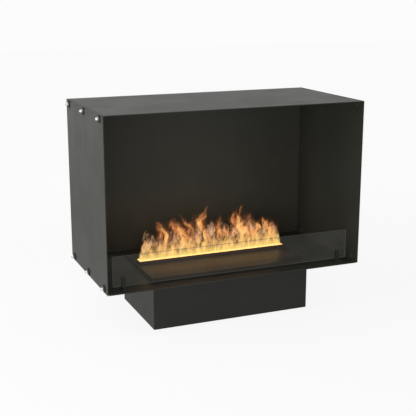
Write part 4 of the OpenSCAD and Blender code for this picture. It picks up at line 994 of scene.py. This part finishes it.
def seen_directly(tree):
    """1 for rays from the camera, in reflections and through glass, and 0 for light that spreads."""
    path = tree.nodes.new("ShaderNodeLightPath")
    total = path.outputs["Is Camera Ray"]
    for name in ("Is Glossy Ray", "Is Transmission Ray"):
        larger = tree.nodes.new("ShaderNodeMath")
        larger.operation = "MAXIMUM"
        tree.links.new(total, larger.inputs[0])
        tree.links.new(path.outputs[name], larger.inputs[1])
        total = larger.outputs[0]
    return total


def either(tree, choice, first, second):
    """The first shader where choice is 0, and the second where it is 1."""
    mixed = tree.nodes.new("ShaderNodeMixShader")
    for source, target in zip((choice, first, second), mixed.inputs):
        tree.links.new(source, target)
    return mixed.outputs[0]


def floor_material():
    """Pale and plain to light. Seen directly it glows near white and keeps the object's shadow, and
    from below the camera looks through it."""
    made = Material("studio_floor", FLOOR_COLOUR, FLOOR_ROUGHNESS, Specular_IOR_Level=0.0)
    grain = made.noise(scale=3.0)
    made.feed(made.mix(grain, toned(FLOOR_COLOUR, 0.99), FLOOR_COLOUR), "Base Color")
    reach = made.node("ShaderNodeVectorMath", operation="LENGTH")
    made.put(made.coords(), reach.inputs[0])
    away = made.span(reach.outputs["Value"], SHADE_NEAR, SHADE_FAR)
    glow = made.node("ShaderNodeEmission")
    glow_level = made.span(away, 0.0, 1.0, FLOOR_GLOW_NEAR, FLOOR_GLOW_FAR, smooth=False)
    made.put(glow_level, glow.inputs["Strength"])
    shade = made.node("ShaderNodeBsdfDiffuse")
    shade_level = made.span(away, 0.0, 1.0, FLOOR_SHADE, 0.0, smooth=False)
    made.put(shade_level, shade.inputs["Color"])
    seen = made.node("ShaderNodeAddShader")
    made.put(glow.outputs[0], seen.inputs[0])
    made.put(shade.outputs[0], seen.inputs[1])
    above = either(made.tree, seen_directly(made.tree), made.shader.outputs[0], seen.outputs[0])
    back = made.node("ShaderNodeNewGeometry").outputs["Backfacing"]
    from_camera = made.node("ShaderNodeLightPath").outputs["Is Camera Ray"]
    under = made.math("MULTIPLY", back, from_camera)
    clear = made.node("ShaderNodeBsdfTransparent").outputs[0]
    whole = either(made.tree, under, above, clear)
    made.put(whole, made.tree.nodes["Material Output"].inputs["Surface"])
    return made.mat


def floor():
    """The floor under the object, wide enough to fill the view."""
    data = bpy.data.meshes.new("floor")
    half = FLOOR_HALF
    places = ((-half, -half), (half, -half), (half, half), (-half, half))
    corners = [(x, y, -FLOOR_DROP) for x, y in places]
    data.from_pydata(corners, [], [(0, 1, 2, 3)])
    data.materials.append(floor_material())
    piece = bpy.data.objects.new("floor", data)
    scene.collection.objects.link(piece)


def surround():
    """An even light from all sides that looks near white itself."""
    scene.world = bpy.data.worlds.new("studio")
    scene.world.use_nodes = True
    tree = scene.world.node_tree
    lights = tree.nodes["Background"]
    white = tree.nodes.new("ShaderNodeBackground")
    for background, strength in ((lights, SURROUND_LIGHT), (white, SEEN_WHITE)):
        background.inputs["Color"].default_value = WHITE
        background.inputs["Strength"].default_value = strength
    whole = either(tree, seen_directly(tree), lights.outputs[0], white.outputs[0])
    tree.links.new(whole, tree.nodes["World Output"].inputs["Surface"])


floor()
surround()


# Lamps: place, point looked at, width and height, power, colour, whether reflections show it. The
# first three light the object. Two glows stand for the flames' own light on the wall and on the
# collar, and a fill for what the back wall throws forward
DAYLIGHT = (1.0, 0.99, 0.95)
LAMPS = {
    "key": ((-1.65, -0.35, 1.62), (-0.4, 0.0, 0.7), (1.2, 1.2), 16.0, DAYLIGHT, True),
    "front_fill": ((-1.8, -3.3, 0.80), (0.1, 0.0, 0.5), (2.6, 1.3), 74.0, DAYLIGHT, True),
    "back_fill": ((0.6, 3.4, 0.40), (0.0, 0.0, 0.40), (2.6, 0.7), 50.0, DAYLIGHT, True),
    "wall_glow": ((-0.05, 0.03, 0.30), (-0.05, 0.2, 0.33), (0.9, 0.08), 0.26, (1.0, 0.68, 0.46), False),
    "inner_fill": ((-0.1, 0.236, 0.45), (-0.1, -1.0, 0.45), (0.7, 0.3), 1.8, (1.0, 0.95, 0.92), False),
    "lip_glow": ((0.0, slot_y - 0.13, lip_top + 0.03), (0.0, slot_y - 0.02, lip_top - 0.012),
                 (0.56, 0.03), 0.42, (1.0, 0.50, 0.17), False),
}


def area_light(name, place, look_at, size, power, colour, reflected):
    """A soft rectangular lamp turned toward a point."""
    data = bpy.data.lights.new(name, "AREA")
    data.shape = "RECTANGLE"
    data.size, data.size_y = size
    data.energy = power
    data.color = colour
    light = bpy.data.objects.new(name, data)
    light.visible_camera = False
    light.visible_glossy = reflected
    aim(light, place, Vector(look_at) - Vector(place))


for lamp, values in LAMPS.items():
    area_light(lamp, *values)
